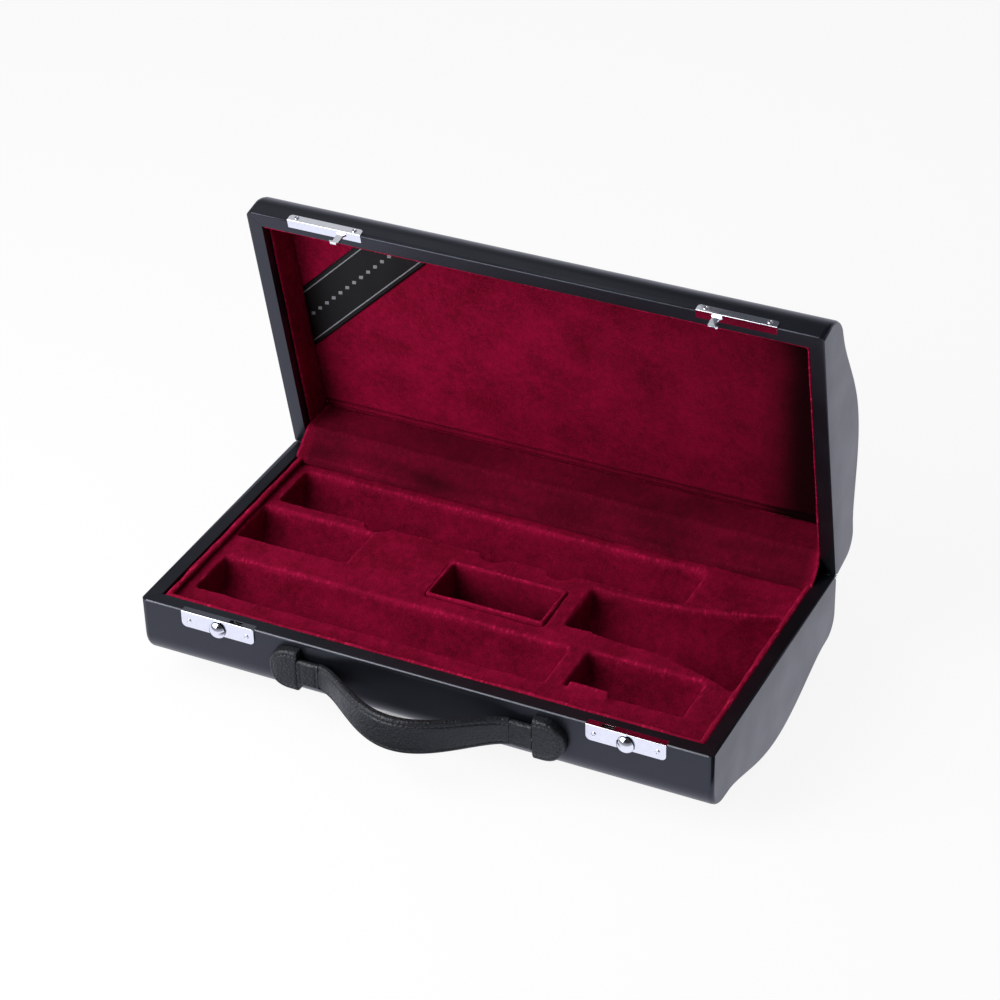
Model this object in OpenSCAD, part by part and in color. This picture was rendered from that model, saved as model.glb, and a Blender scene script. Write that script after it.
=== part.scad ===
// Clarinet case: a wooden tub and lid with a bowed back, covered in black leathercloth,
// with a velvet insert cut out for the pieces it holds, two sliding latches, two butt
// hinges under a velvet apron, and a bowed leather handle. It stands open, as on a table.

/* [Case] */
// Length of the case, left to right
case_l = 360; // [350:1:440]
// Depth of the case, front wall to rear wall
case_d = 188; // [185:1:230]
// Depth of the base from its rim to the lowest line of its belly
base_depth = 58; // [50:1:70]
// Depth of the base at the flat shoulders beside the belly
base_shoulder = 41; // [38:1:49]
// Height of the lid from its rim to the top of its hump
lid_height = 47; // [39:1:57]
// Height of the lid at the shoulders beside the hump
lid_shoulder = 31.5; // [30:1:38]
// Opening angle that the lid is modelled at, from closed
open_angle = 78.4; // [60:0.1:88]

/* [Outline] */
// Radius of the long front corners
front_r = 16; // [12:0.5:18]
// Radius of the long rear corners
rear_r = 14; // [11:0.5:18]
// Width of the flat shoulder at the front, between corner and belly
front_flat = 4; // [1:0.5:10]
// Width of the flat shoulder at the rear
rear_flat = 1; // [0.5:0.5:10]
// Distance of the hinge line from the rear wall's outer face
hinge_set = 3.2; // [3:0.1:4]
// Gap between the two rims when the lid is shut
rim_gap = 0.4; // [0.3:0.05:0.8]

/* [Walls] */
// Width of the rim, all round
rim_w = 9; // [8:0.5:12]
// Thickness of the leathercloth
cloth_t = 1; // [0.8:0.1:1.2]
// Thickness of the padded end covers
pad_t = 3; // [2:0.1:3.5]
// Depth to which the leathercloth is turned down inside the rim
turn_down = 8; // [5:0.5:12]
// Thickness of the bent bottom and top boards
board_t = 4; // [3:0.5:5]

/* [Insert] */
// Depth of the velvet plateau below the rim
plateau = 5; // [4.8:0.1:7]
// Radius of the velvet piping that edges the insert
piping_r = 2.1; // [1.5:0.1:2.2]
// Width of a long well
well_w = 34; // [28:1:36]
// Depth of a long well's axis below the rim
well_axis = 15; // [10:0.5:17]
// Length of the rear long well
rear_well_l = 268; // [200:1:272]
// Length of the front long well
front_well_l = 226; // [170:1:230]
// Length of the short well at the left
side_well_l = 74; // [60:1:80]
// Length of the round well at the front right
round_well_l = 72; // [55:1:78]
// Width of the mouth of the flared well
flare_w = 78; // [58:1:80]
// Length of the flared well
flare_well_l = 112; // [90:1:113]
// Outer length of the accessory box
box_l = 76; // [60:1:84]
// Outer width of the accessory box
box_w = 36; // [30:1:42]
// Depth of the accessory box from its edge to its underside
box_h = 34; // [24:1:38]
// Wall of the accessory box
box_wall = 2.4; // [2:0.1:3]

/* [Lid lining] */
// Depth of the lid's velvet panel below the lid's rim
panel_depth = 25; // [18:0.5:27]
// Thickness of the padded panel
panel_t = 2.5; // [2:0.1:4]
// Thickness of the velvet on the lid's walls
lining_t = 1.5; // [1:0.1:2]
// Depth of bare leathercloth above the velvet on the lid's left wall
lining_recess = 5; // [0:0.5:8]
// Width of the ribbon across the lid's corner
band_w = 34; // [20:1:45]
// Reach of the ribbon's near edge from the panel's corner, along the walls
band_reach = 65; // [40:1:90]

/* [Latches] */
// Distance of each latch's middle from the case's middle
latch_x = 128.5; // [115:0.5:140]
// Length of a latch plate
plate_l = 48; // [46:0.5:56]
// Drop of the base plate down the front wall
plate_drop = 10.6; // [10.4:0.1:14]
// Height of the lid plate up the front wall
plate_rise = 5; // [4:0.1:8]
// Reach of a plate's leg over the rim
plate_reach = 3.7; // [3.6:0.1:5]
// Thickness of a plate
plate_t = 0.8; // [0.6:0.1:1]
// Distance between a plate's two rivets
rivet_pitch = 38; // [37:0.5:44]
// Radius of the thumb disc
disc_r = 5.3; // [4.8:0.1:6]
// Travel of the latch slide
latch_travel = 3; // [2.5:0.1:3.2]

/* [Handle] */
// Distance between the two handle pads' straight sides
handle_span = 148; // [130:1:170]
// Height of a handle pad
pad_h = 27; // [24:0.5:30]
// Thickness of a handle pad
pad_thick = 6.6; // [6.4:0.1:8]
// How far the grip bows out from its ends
grip_bow = 28.5; // [20:0.5:36]
// Height of the grip in the middle
grip_h = 23; // [18:0.5:26]
// Height of the grip at its ends
grip_end_h = 18; // [14:0.5:20]
// Thickness of the grip in the middle
grip_t = 6.5; // [5:0.5:8]
// Thickness of the grip at its ends
grip_end_t = 4.6; // [4.4:0.1:5.4]
// Length of the grip along the case
grip_l = 120; // [100:1:136]
// Height of the straps at the grip's ends
strap_h = 17; // [12:0.5:17.5]

/* [Hinges and feet] */
// Distance of each hinge's middle from the case's middle
hinge_x = 112; // [80:1:130]
// Length of a hinge
hinge_l = 40; // [30:1:50]
// Outer radius of a hinge knuckle
knuckle_r = 1.7; // [1.6:0.05:1.9]
// Radius of a hinge pin
pin_r = 0.8; // [0.7:0.05:0.9]
// Distance of the feet from the case's middle
foot_x = 140; // [110:1:150]
// Place of the front feet
foot_front_y = -42; // [-50:1:-30]
// Place of the rear feet
foot_rear_y = 50; // [36:1:54]
// Radius of a foot at its base
foot_r = 8; // [6:0.5:10]
// Height of the belly above the table
belly_clear = 1.6; // [1:0.1:4]

/* [Hidden] */

// Colours
leather = "#1b1c20";
velvet = "#7d0a2b";
chrome = "#d9dadd";
steel = "#9a9da2";
ply = "#b98f5c";
rubber = "#222222";
foam = "#c9c2a8";
satin = "#151517";

// Small gaps between pieces that meet
seat = 0.2;
slip = 0.05;
gap = 0.3;
eps = 0.01;

// Main planes, with the rim plane at z = 0 before the case is lifted onto its feet
front_y = -case_d/2;
rear_y = case_d/2;
hinge_y = rear_y - hinge_set;
hinge_z = rim_gap/2;
inner_x = case_l/2 - rim_w;
inner_front = front_y + rim_w;
inner_rear = hinge_y - rim_w;
wrap_x = case_l/2 - pad_t;
board_x = inner_x + cloth_t;
lining_top = 0.6;
lift = base_depth + belly_clear;

// One closed outline of a tub, from the front rim down and round to the rear rim.
// y runs to the rear and the second value is the depth below the rim.
corner_steps = 8;
belly_steps = 28;
belly_y0 = front_y + front_r + front_flat;
belly_y1 = rear_y - rear_r - rear_flat;
belly_y = (belly_y0 + belly_y1)/2;
belly_w = (belly_y1 - belly_y0)/2;
function belly(y, extra) =
    let (u = abs(y - belly_y)/belly_w) u < 1 ? extra*pow(1 - u*u, 1.8) : 0;
function corner(cy, cz, r, a0, a1) =
    [for (i = [0:corner_steps]) let (a = a0 + (a1 - a0)*i/corner_steps)
        [cy + r*cos(a), cz + r*sin(a)]];
function outline(shoulder, extra) = concat(
    [[front_y, 0]],
    corner(front_y + front_r, shoulder - front_r, front_r, 180, 90),
    [for (i = [1:belly_steps - 1])
        let (y = belly_y - belly_w + 2*belly_w*i/belly_steps) [y, shoulder + belly(y, extra)]],
    corner(rear_y - rear_r, shoulder - rear_r, rear_r, 90, 0),
    [[rear_y, hinge_set + gap], [hinge_y, 0]]);
base_line = outline(base_shoulder, base_depth - base_shoulder);
lid_line = outline(lid_shoulder, lid_height - lid_shoulder);

// The same outline moved inwards by d along its normals. The rim end keeps its height,
// and the bevelled rear end draws in by this share of d.
rear_lean = 0.4;
function unit(v) = v/norm(v);
function inward(p, i) = let (n = len(p), a = p[max(i - 1, 0)], b = p[min(i + 1, n - 1)],
    t = unit(b - a)) [t[1], -t[0]];
function inset(p, d) = [for (i = [0:len(p) - 1])
    i == 0 ? [p[0][0] + d, 0] :
    i == len(p) - 1 ? [p[i][0] - d*rear_lean, 0] :
    p[i] + d*inward(p, i)];

// Line that the handle swings about, in front of the wall, and the radius of its trunnions
handle_out = 4.15;
handle_z = -17.5;
handle_y = front_y - handle_out;
trunnion_r = 2;

// Where the whole case stands: the middle of its footprint when open
function swung_point(y, z) = [
    hinge_y + (y - hinge_y)*cos(open_angle) + (z + hinge_z)*sin(open_angle),
    hinge_z - (y - hinge_y)*sin(open_angle) + (z + hinge_z)*cos(open_angle)];
rest_rear = max([for (p = lid_line) swung_point(p[0], p[1])[0]]);
rest_front = handle_y - grip_bow - grip_t/2;
shift_y = -(rest_front + rest_rear)/2;

// Wells of the insert, in the case's own frame
rear_well_y = 53;
rear_well_x0 = -161;
front_well_y = -47;
front_well_x0 = -161;
side_well_y = 9;
side_well_x0 = -166;
round_well_y = -45;
round_well_x0 = 76;
flare_y = 9;
flare_x0 = 53;
box_x = 4;
box_y = 1;
box_edge = 3;

module place() {
    translate([0, shift_y, lift]) children();
}

module on_lid() {
    place()
        translate([0, hinge_y, hinge_z])
            rotate([-open_angle, 0, 0])
                translate([0, -hinge_y, -hinge_z])
                    translate([0, 0, rim_gap])
                        children();
}

// Extrudes a [y, depth] outline along the case's length; side is -1 for the base, 1 for the lid
module along(x0, x1, side) {
    translate([x0, 0, 0])
        rotate([90, 0, 90])
            linear_extrude(x1 - x0)
                scale([1, side])
                    children();
}

module both_ends() {
    children();
    mirror([1, 0, 0]) children();
}

// Tub: pieces shared by the base and the lid
// Thin skin round the long sides, turned over the rims and down inside them
module wrap_section(line) {
    difference() {
        polygon(line);
        difference() {
            intersection() {
                polygon(inset(line, cloth_t));
                translate([front_y, cloth_t]) square([case_d, base_depth]);
            }
            translate([inner_front - cloth_t, 0]) square([cloth_t, cloth_t + turn_down]);
            translate([inner_rear, 0]) square([cloth_t, cloth_t + turn_down]);
        }
        translate([inner_front, -eps]) square([inner_rear - inner_front, cloth_t + 2*eps]);
    }
}

module wrap(line, side) {
    difference() {
        along(-wrap_x, wrap_x, side) wrap_section(line);
        both_ends() rim_mitre(side, 0);
        hinge_cuts(side);
    }
}

// The end cover's strip of rim, seen from above as a mitred shape
module rim_mitre(side, gap) {
    z0 = side < 0 ? -turn_down - cloth_t - eps : -eps;
    translate([0, 0, z0])
        linear_extrude(turn_down + cloth_t + 2*eps)
            polygon([[inner_x + gap, inner_front], [inner_x + gap, inner_rear],
                [case_l/2 + gap, inner_rear + rim_w], [case_l/2 + gap, front_y]]);
}

module end_covers(line, side) {
    both_ends() end_plate(line, side);
}

// Leathercloth turned over the rim at the ends, mitred to the wrap, and down inside
module rim_ends(side) {
    z0 = side < 0 ? -cloth_t : 0;
    z1 = side < 0 ? -turn_down - cloth_t : cloth_t - eps;
    both_ends() {
        translate([0, 0, z0]) linear_extrude(cloth_t)
            polygon([[inner_x, inner_front + slip], [inner_x, inner_rear - slip],
                [wrap_x, inner_rear + rim_w - pad_t - slip], [wrap_x, front_y + pad_t + slip]]);
        translate([inner_x, inner_front + slip, z1])
            cube([cloth_t, inner_rear - inner_front - 2*slip, turn_down + eps]);
    }
}

// Padded end cover, its outer edge rounded over by nearly its own thickness
cover_steps = 4;
cover_roll = 0.8;
module end_plate(line, side) {
    steps = cover_steps;
    n = len(line);
    rings = [for (k = [0:steps])
        let (a = 90*k/steps, d = pad_t*(1 - cos(a)), x = wrap_x + pad_t*sin(a))
            [for (p = k == 0 ? line : inset(line, d*cover_roll)) [x, p[0], side*p[1]]]];
    pts = [for (r = rings) each r];
    sides = [for (k = [0:steps - 1]) for (i = [0:n - 1]) let (j = (i + 1) % n, a = k*n)
        each [[a + i, a + j, a + n + j], [a + i, a + n + j, a + n + i]]];
    caps = [[for (i = [n - 1:-1:0]) i], [for (i = [0:n - 1]) steps*n + i]];
    faces = concat(sides, caps);
    polyhedron(pts, side < 0 ? faces : [for (f = faces) [for (i = [len(f) - 1:-1:0]) f[i]]]);
}

// Plywood pieces of one tub
module end_boards(line, side) {
    both_ends() along(board_x, wrap_x, side) intersection() {
        polygon(inset(line, cloth_t));
        translate([front_y, cloth_t]) square([case_d, base_depth]);
    }
}

module long_board(line, side, rear) {
    y0 = rear ? inner_rear + cloth_t : front_y;
    y1 = rear ? rear_y : inner_front - cloth_t;
    deep = side < 0 ? base_shoulder - front_r : lid_shoulder - front_r;
    difference() {
        along(-board_x, board_x, side) intersection() {
            polygon(inset(line, cloth_t));
            translate([y0, cloth_t]) square([y1 - y0, deep - cloth_t]);
        }
        hinge_cuts(side);
        if (!rear && side < 0) {
            latch_cuts();
        }
        if (!rear && side > 0) {
            lid_latch_cuts();
        }
    }
}

module bent_board(line, side) {
    deep = side < 0 ? base_shoulder - front_r : lid_shoulder - front_r;
    along(-board_x, board_x, side) intersection() {
        difference() {
            polygon(inset(line, cloth_t));
            polygon(inset(line, cloth_t + board_t));
        }
        translate([front_y, deep]) square([case_d, base_depth]);
    }
}

// Hinges: butt leaves let into the rims, their knuckles on the hinge line
leaf_w = 5.4;
leaf_t = 0.8;
knuckles = 5;
leaf_screw_r = 0.8;
leaf_screw_l = 4.9;
leaf_screw_y = -knuckle_r - leaf_w*0.55;
leaf_screw_shares = [0.15, 0.5, 0.85];
function hinge_level(side) = side < 0 ? hinge_z : hinge_z - rim_gap;

// A rod along the hinge line, from one place on a leaf to another
module hinge_rod(side, x0, x1, r, sides) {
    translate([x0, 0, hinge_level(side)])
        rotate([0, 90, 0]) cylinder(r = r, h = x1 - x0, $fn = sides);
}

// The three screws of a leaf stand at even steps
module at_leaf_screws() {
    for (share = leaf_screw_shares) {
        translate([hinge_l*share, leaf_screw_y, 0]) children();
    }
}

module at_hinges() {
    both_ends() translate([hinge_x - hinge_l/2, hinge_y, 0]) children();
}

// Mortises and pilot holes in the boards and the leathercloth
module hinge_cuts(side) {
    at_hinges() {
        hinge_rod(side, -slip, hinge_l + slip, knuckle_r + seat, 32);
        translate([-slip, -leaf_w - knuckle_r - slip, side < 0 ? -leaf_t - slip : -eps])
            cube([hinge_l + 2*slip, leaf_w + knuckle_r + slip, leaf_t + slip + eps]);
        at_leaf_screws() cylinder(r = leaf_screw_r + slip, h = 3*leaf_screw_l, center = true, $fn = 16);
    }
}

module leaf(side) {
    step = hinge_l/knuckles;
    difference() {
        union() {
            translate([0, -leaf_w - knuckle_r, side < 0 ? -leaf_t : 0])
                cube([hinge_l, leaf_w + knuckle_r, leaf_t]);
            for (i = [0:knuckles - 1]) {
                if ((i % 2 == 0) == (side < 0)) {
                    hinge_rod(side, i*step + slip, (i + 1)*step - slip, knuckle_r, 32);
                }
            }
        }
        for (i = [0:knuckles - 1]) {
            if ((i % 2 == 0) != (side < 0)) {
                hinge_rod(side, i*step - slip, (i + 1)*step + slip, knuckle_r + seat, 32);
            }
        }
        hinge_rod(side, -eps, hinge_l + eps, pin_r + slip, 24);
        at_leaf_screws() cylinder(r = leaf_screw_r + 2*slip, h = 4*leaf_t, center = true, $fn = 16);
    }
}

module hinge_base_leaves() { color(steel) place() at_hinges() leaf(-1); }
module hinge_lid_leaves() { color(steel) on_lid() at_hinges() leaf(1); }

module hinge_pins() {
    color(steel) place() at_hinges() hinge_rod(-1, -slip/2, hinge_l + slip/2, pin_r, 24);
}

module leaf_screws(side) {
    at_hinges() at_leaf_screws()
        translate([0, 0, side < 0 ? -leaf_screw_l - 2*slip : 2*slip])
            cylinder(r = leaf_screw_r, h = leaf_screw_l, $fn = 16);
}

module hinge_base_screws() { color(steel) place() leaf_screws(-1); }
module hinge_lid_screws() { color(steel) on_lid() leaf_screws(1); }

// Latches: everything is drawn for the left latch, round the middle of its plate, with +x
// towards the middle of the case and y = 0 on the front wall's face
rivet_z = -plate_drop + 4.6;
rivet_r = 0.9;
rivet_l = 6.8;
rivet_head = [[0, 0], [1.6, 0], [1.5, 0.3], [1.2, 0.55], [0.9, 0.55], [0.6, 0.3], [0, 0.2]];
base_corner_r = 3;
lid_corner_r = 2;
slot_l = 8;
slot_play = 1.4;
mortise_x = 17.4;
mortise_z = -plate_drop + 0.6;
mortise_y = plate_reach - seat;
housing_t = 0.8;
housing_top = -1.2;
housing_play = 0.1;
nose_play = 0.6;
body_x0 = -10;
body_x1 = 7.1;
slide_y = 0.6;
slide_t = 1.8;
slide_z0 = mortise_z + seat + housing_t + seat;
slide_z1 = -3.2;
nose_z = -6.5;
nose = [[0, 0], [2, 0], [2, 0.6], [0.9, 1.7], [0, 1.7]];
stem_w = 4;
stem_h = 3.4;
stem_out = 0.6;
disc_z = -plate_drop + 3.8;
disc_rim = 0.5;
disc_slope = 52;
disc_steps = 8;
hook_x0 = 9.5;
hook_t = 1.4;
hook_foot_z = -1.2;
claw_z = -8.5;
claw_h = 1.7;
claw_out = 1.9;

module left_latch() {
    translate([-latch_x, front_y, 0]) children();
}

module right_latch() {
    mirror([1, 0, 0]) left_latch() children();
}

module latches() {
    left_latch() children();
    right_latch() children();
}

module at_rivets(z) {
    for (s = [-1, 1]) {
        translate([s*rivet_pitch/2, 0, z]) rotate([90, 0, 0]) children();
    }
}

module rivet_holes(z) {
    at_rivets(z) cylinder(r = rivet_r + slip, h = 4*rivet_l, center = true, $fn = 16);
}

// Recesses in the wrap and front board for the plate, the housing and the rivets
module latch_cuts() {
    latches() {
        translate([-mortise_x, -eps, mortise_z]) cube([2*mortise_x, mortise_y + eps, -mortise_z + eps]);
        translate([-plate_l/2 - slip, -plate_t - eps, -plate_t - slip])
            cube([plate_l + 2*slip, plate_t + plate_reach + slip + eps, plate_t + slip + eps]);
        rivet_holes(rivet_z);
    }
}

module base_plate() {
    difference() {
        union() {
            translate([0, 0, -plate_drop]) rotate([90, 0, 0]) linear_extrude(plate_t)
                rounded_plate(plate_l, plate_drop, base_corner_r);
            translate([-plate_l/2, -plate_t, -plate_t])
                cube([plate_l, plate_t + plate_reach, plate_t]);
        }
        // slot for the hook, and the window that the slide's stem moves in
        translate([hook_x0 - claw_out - seat, slide_y + seat - slot_play/2, -plate_t - eps])
            cube([slot_l, hook_t + slot_play, plate_t + 2*eps]);
        translate([-stem_w/2 - 2*seat - latch_travel, -plate_t - eps, disc_z - stem_h/2 - seat])
            cube([stem_w + 4*seat + latch_travel, plate_t + 2*eps, stem_h + 2*seat]);
        rivet_holes(rivet_z);
    }
}

// A plate with two rounded lower corners and a straight top
module rounded_plate(l, h, r) {
    union() {
        translate([-l/2, r]) square([l, h - r]);
        translate([-l/2 + r, 0]) square([l - 2*r, r + eps]);
        for (s = [-1, 1]) {
            translate([s*(l/2 - r), r]) circle(r, $fn = 32);
        }
    }
}

module rivet(z) {
    at_rivets(z) {
        translate([0, 0, -rivet_l]) cylinder(r = rivet_r, h = rivet_l + plate_t, $fn = 16);
        translate([0, 0, plate_t]) rotate_extrude($fn = 24) polygon(rivet_head);
    }
}

// Folded tray that the slide runs in: a back, two ends, a floor and a short ceiling
module housing() {
    x = mortise_x - seat;
    z0 = mortise_z + seat;
    back = mortise_y - housing_play;
    front = housing_play;
    deep = back - housing_t - front;
    difference() {
        translate([-x, front, z0]) cube([2*x, back - front, housing_top - z0]);
        translate([-x + housing_t, front - eps, z0 + housing_t])
            cube([2*(x - housing_t), deep + eps, slide_z1 + seat - z0 - housing_t]);
        translate([-x + housing_t, front - eps, slide_z1 + seat + housing_t])
            cube([2*(x - housing_t), deep + eps, -slide_z1]);
        translate([body_x1 - nose_play, front - eps, slide_z1])
            cube([x - housing_t - body_x1 + nose_play, deep + eps, -slide_z1]);
    }
}

// Slide with a bevelled nose that the hook rides over, and the stem for the thumb disc
module slide() {
    translate([body_x0, slide_y, slide_z0])
        cube([body_x1 - body_x0, slide_t, slide_z1 - slide_z0]);
    translate([body_x1 - eps, slide_y + slide_t, nose_z]) rotate([90, 0, 0])
        linear_extrude(slide_t) polygon(nose);
    translate([-stem_w/2, -plate_t - stem_out, disc_z - stem_h/2])
        cube([stem_w, plate_t + stem_out + slide_y + eps, stem_h]);
}

// Turned thumb disc with a domed face, riveted to the slide's stem
module disc() {
    dome_r = disc_r/sin(disc_slope);
    dome = [for (i = [0:disc_steps]) let (a = disc_slope*(1 - i/disc_steps))
        [dome_r*sin(a), disc_rim + dome_r*(cos(a) - cos(disc_slope))]];
    translate([0, -plate_t - stem_out - slip, disc_z]) rotate([90, 0, 0]) rotate_extrude($fn = 64)
        polygon(concat([[0, 0], [disc_r - disc_rim/2, 0], [disc_r, disc_rim/2]], dome));
}

// Compression spring along x, wire tube swept along a helix
spring_turns = 5;
spring_r = 0.95;
wire_r = 0.22;
wire_sides = 6;
steps_a_turn = 8;
module spring() {
    x0 = -mortise_x + seat + housing_t + slip;
    x1 = body_x0 - slip;
    steps = spring_turns*steps_a_turn;
    sides = wire_sides;
    span = x1 - x0 - 2*wire_r;
    y = (mortise_y - housing_t)/2;
    function angle(i) = 360*i/steps_a_turn;
    function at(i) = [x0 + wire_r + span*i/steps,
        y + spring_r*cos(angle(i)), disc_z + spring_r*sin(angle(i))];
    pts = [for (i = [0:steps]) for (j = [0:sides - 1]) let (b = 360*j/sides)
        at(i) + wire_r*[sin(b), cos(b)*cos(angle(i)), cos(b)*sin(angle(i))]];
    walls = [for (i = [0:steps - 1]) for (j = [0:sides - 1])
        let (k = (j + 1) % sides, a = i*sides)
            each [[a + j, a + sides + k, a + k], [a + j, a + sides + j, a + sides + k]]];
    ends = [[for (j = [0:sides - 1]) j], [for (j = [sides - 1:-1:0]) steps*sides + j]];
    polyhedron(pts, concat(walls, ends));
}

module base_latch_plate_left() { color(chrome) place() left_latch() base_plate(); }
module base_latch_plate_right() { color(chrome) place() right_latch() base_plate(); }
module latch_housing_left() { color(steel) place() left_latch() housing(); }
module latch_housing_right() { color(steel) place() right_latch() housing(); }
module latch_slide_left() { color(steel) place() left_latch() slide(); }
module latch_slide_right() { color(steel) place() right_latch() slide(); }
module thumb_disc_left() { color(chrome) place() left_latch() disc(); }
module thumb_disc_right() { color(chrome) place() right_latch() disc(); }
module latch_spring_left() { color(steel) place() left_latch() spring(); }
module latch_spring_right() { color(steel) place() right_latch() spring(); }
module base_latch_rivets() { color(chrome) place() latches() rivet(rivet_z); }

// Lid side of the latches: the plate and its hook, drawn above the lid's rim
lid_rivet_z = plate_rise - 2.1;
lid_reach = plate_reach + 1.2;
hook_line = [[-1.4, -0.02], [5.4, -0.02], [4.2, hook_foot_z]];
module lid_latch_cuts() {
    latches() {
        translate([-plate_l/2 - slip, -plate_t - eps, -eps])
            cube([plate_l + 2*slip, plate_t + lid_reach + slip + eps, plate_t + slip + eps]);
        rivet_holes(lid_rivet_z);
    }
}

module lid_plate() {
    difference() {
        union() {
            rotate([90, 0, 0]) linear_extrude(plate_t) translate([0, plate_rise])
                scale([1, -1]) rounded_plate(plate_l, plate_rise, lid_corner_r);
            translate([-plate_l/2, -plate_t, 0]) cube([plate_l, plate_t + lid_reach, plate_t]);
        }
        rivet_holes(lid_rivet_z);
    }
}

// Hook with a claw that points back at the slide
module hook() {
    z0 = claw_z - rim_gap;
    translate([hook_x0, slide_y + seat, 0]) rotate([90, 0, 0])
        translate([0, 0, -hook_t]) linear_extrude(hook_t)
            polygon(concat(hook_line, [[4.2, z0 + 1], [3.2, z0], [-0.8, z0], [-claw_out, z0 + 0.9],
                [-claw_out, z0 + claw_h], [0, z0 + claw_h], [0, hook_foot_z]]));
}

module lid_latch_plate_left() { color(chrome) on_lid() left_latch() lid_plate(); }
module lid_latch_plate_right() { color(chrome) on_lid() right_latch() lid_plate(); }
module lid_hook_left() { color(chrome) on_lid() left_latch() hook(); }
module lid_hook_right() { color(chrome) on_lid() right_latch() hook(); }
module lid_latch_rivets() { color(chrome) on_lid() latches() rivet(lid_rivet_z); }

// Handle: padded leather pads on the front wall, straps, trunnions and the bowed grip
pad_r = pad_h/2;
pad_x = handle_span/2;
pad_lip = 1.4;
pad_flat = 6;
anchor_x = pad_x + pad_lip;
anchor_l = 12;
anchor_h = 9;
anchor_rivet_r = 0.8;
anchor_rivet_z = 3.4;
trunnion_in = 5;
strap_t = 4.2;

// A rod along the line that the handle swings about
module handle_rod(x0, x1, r) {
    translate([x0, handle_y, handle_z]) rotate([0, 90, 0]) cylinder(r = r, h = x1 - x0, $fn = 48);
}

module at_anchor_rivets() {
    both_ends() for (s = [-1, 1]) {
        translate([anchor_x + anchor_l/2, front_y, handle_z + s*anchor_rivet_z])
            rotate([90, 0, 0]) children();
    }
}

// Pad with a pocket for its anchor and a mouth for the trunnion
module handle_pad() {
    deep = handle_out + trunnion_r + gap;
    translate([0, front_y, handle_z]) rotate([90, 0, 0]) difference() {
        pad_shell();
        translate([anchor_x - seat, -anchor_h/2 - seat, -eps])
            cube([anchor_l + 2*seat, anchor_h + 2*seat, deep + eps]);
        translate([pad_x - eps, -trunnion_r - gap, -eps])
            cube([pad_lip + seat, 2*(trunnion_r + gap), deep + eps]);
    }
}

// D shape: straight towards the middle of the case, round outwards, with a rolled edge
module pad_shell() {
    for (step = [[0.72, 0], [0.9, 0.7], [1, 2]]) {
        in = step[1];
        linear_extrude(pad_thick*step[0]) union() {
            translate([pad_x + pad_flat, 0]) intersection() {
                circle(pad_r - in, $fn = 64);
                translate([0, -pad_r]) square([pad_r, pad_h]);
            }
            translate([pad_x + in/2, -pad_r + in]) square([pad_flat - in/2 + eps, pad_h - 2*in]);
        }
    }
}

module handle_pad_left() { color(leather) place() mirror([1, 0, 0]) handle_pad(); }
module handle_pad_right() { color(leather) place() handle_pad(); }

module handle_anchors() {
    color(steel) place() difference() {
        both_ends() translate([anchor_x, handle_y - trunnion_r, handle_z - anchor_h/2])
            cube([anchor_l, handle_out + trunnion_r, anchor_h]);
        both_ends() handle_rod(pad_x, anchor_x + anchor_l + 1, trunnion_r + slip);
        at_anchor_rivets() cylinder(r = anchor_rivet_r + slip, h = 30, center = true, $fn = 16);
    }
}

// Headless rivets from the anchor's face through the wall and the front board
module handle_anchor_rivets() {
    color(steel) place() at_anchor_rivets() translate([0, 0, -rim_w + cloth_t + 1.2])
        cylinder(r = anchor_rivet_r, h = rim_w - cloth_t - 1.2 + handle_out + trunnion_r - seat,
            $fn = 16);
}

module handle_trunnions() {
    color(steel) place() both_ends() handle_rod(grip_l/2 - trunnion_in, anchor_x + anchor_l, trunnion_r);
}

// Leather sleeve between pad and grip, with round edges
module handle_straps() {
    color(leather) place() both_ends()
        translate([grip_l/2 + seat, handle_y, handle_z]) rotate([0, 90, 0])
            linear_extrude(pad_x - grip_l/2 - 4*seat) difference() {
                hull() for (s = [-1, 1]) {
                    translate([s*(strap_h - strap_t)/2, 0]) circle(strap_t/2, $fn = 24);
                }
                circle(trunnion_r + eps, $fn = 48);
            }
}

// Bowed grip: a rounded upright section swept along a smooth arch
grip_steps = 24;
grip_sides = 16;
function arch(u) = pow(max(1 - u*u, 0), 1.7);
function grip_mid(u) = [u*grip_l/2, handle_y - grip_bow*arch(u), handle_z];
function grip_out(u) = abs(u) > 0.999 ? [0, -1, 0] :
    let (t = unit(grip_mid(u + 0.001) - grip_mid(u - 0.001))) [t[1], -t[0], 0];
function soft(v) = sign(v)*pow(abs(v), 0.6);
function grip_ring(u) =
    let (h = grip_end_h + (grip_h - grip_end_h)*arch(u), t = grip_end_t + (grip_t - grip_end_t)*arch(u))
        [for (j = [0:grip_sides - 1]) let (a = 360*(j + 0.5)/grip_sides)
            grip_mid(u) + grip_out(u)*soft(cos(a))*t/2 + [0, 0, soft(sin(a))*h/2]];
module handle_grip() {
    pts = [for (i = [0:grip_steps]) each grip_ring(-1 + 2*i/grip_steps)];
    n = grip_sides;
    walls = [for (i = [0:grip_steps - 1]) for (j = [0:n - 1]) let (k = (j + 1) % n, a = i*n)
        each [[a + j, a + k, a + n + k], [a + j, a + n + k, a + n + j]]];
    ends = [[for (j = [n - 1:-1:0]) j], [for (j = [0:n - 1]) grip_steps*n + j]];
    color(leather) place() difference() {
        polyhedron(pts, concat(walls, ends));
        both_ends() handle_rod(grip_l/2 - trunnion_in - seat, grip_l/2 + 1, trunnion_r + eps);
    }
}

// Base shell
foot_screw_r = 1.2;
foot_line = [[0, 0], [foot_r - 2.2, 0], [foot_r - 1.6, 0.6], [foot_r, 8]];
head_z = 1.4;
head = [[0, 0], [2.2, 0.5], [2.4, 1.5]];
head_hole_r = 2.6;
head_hole_h = 3;

module anchor_holes() {
    at_anchor_rivets() cylinder(r = anchor_rivet_r + slip, h = 2*rim_w, center = true, $fn = 16);
}

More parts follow.
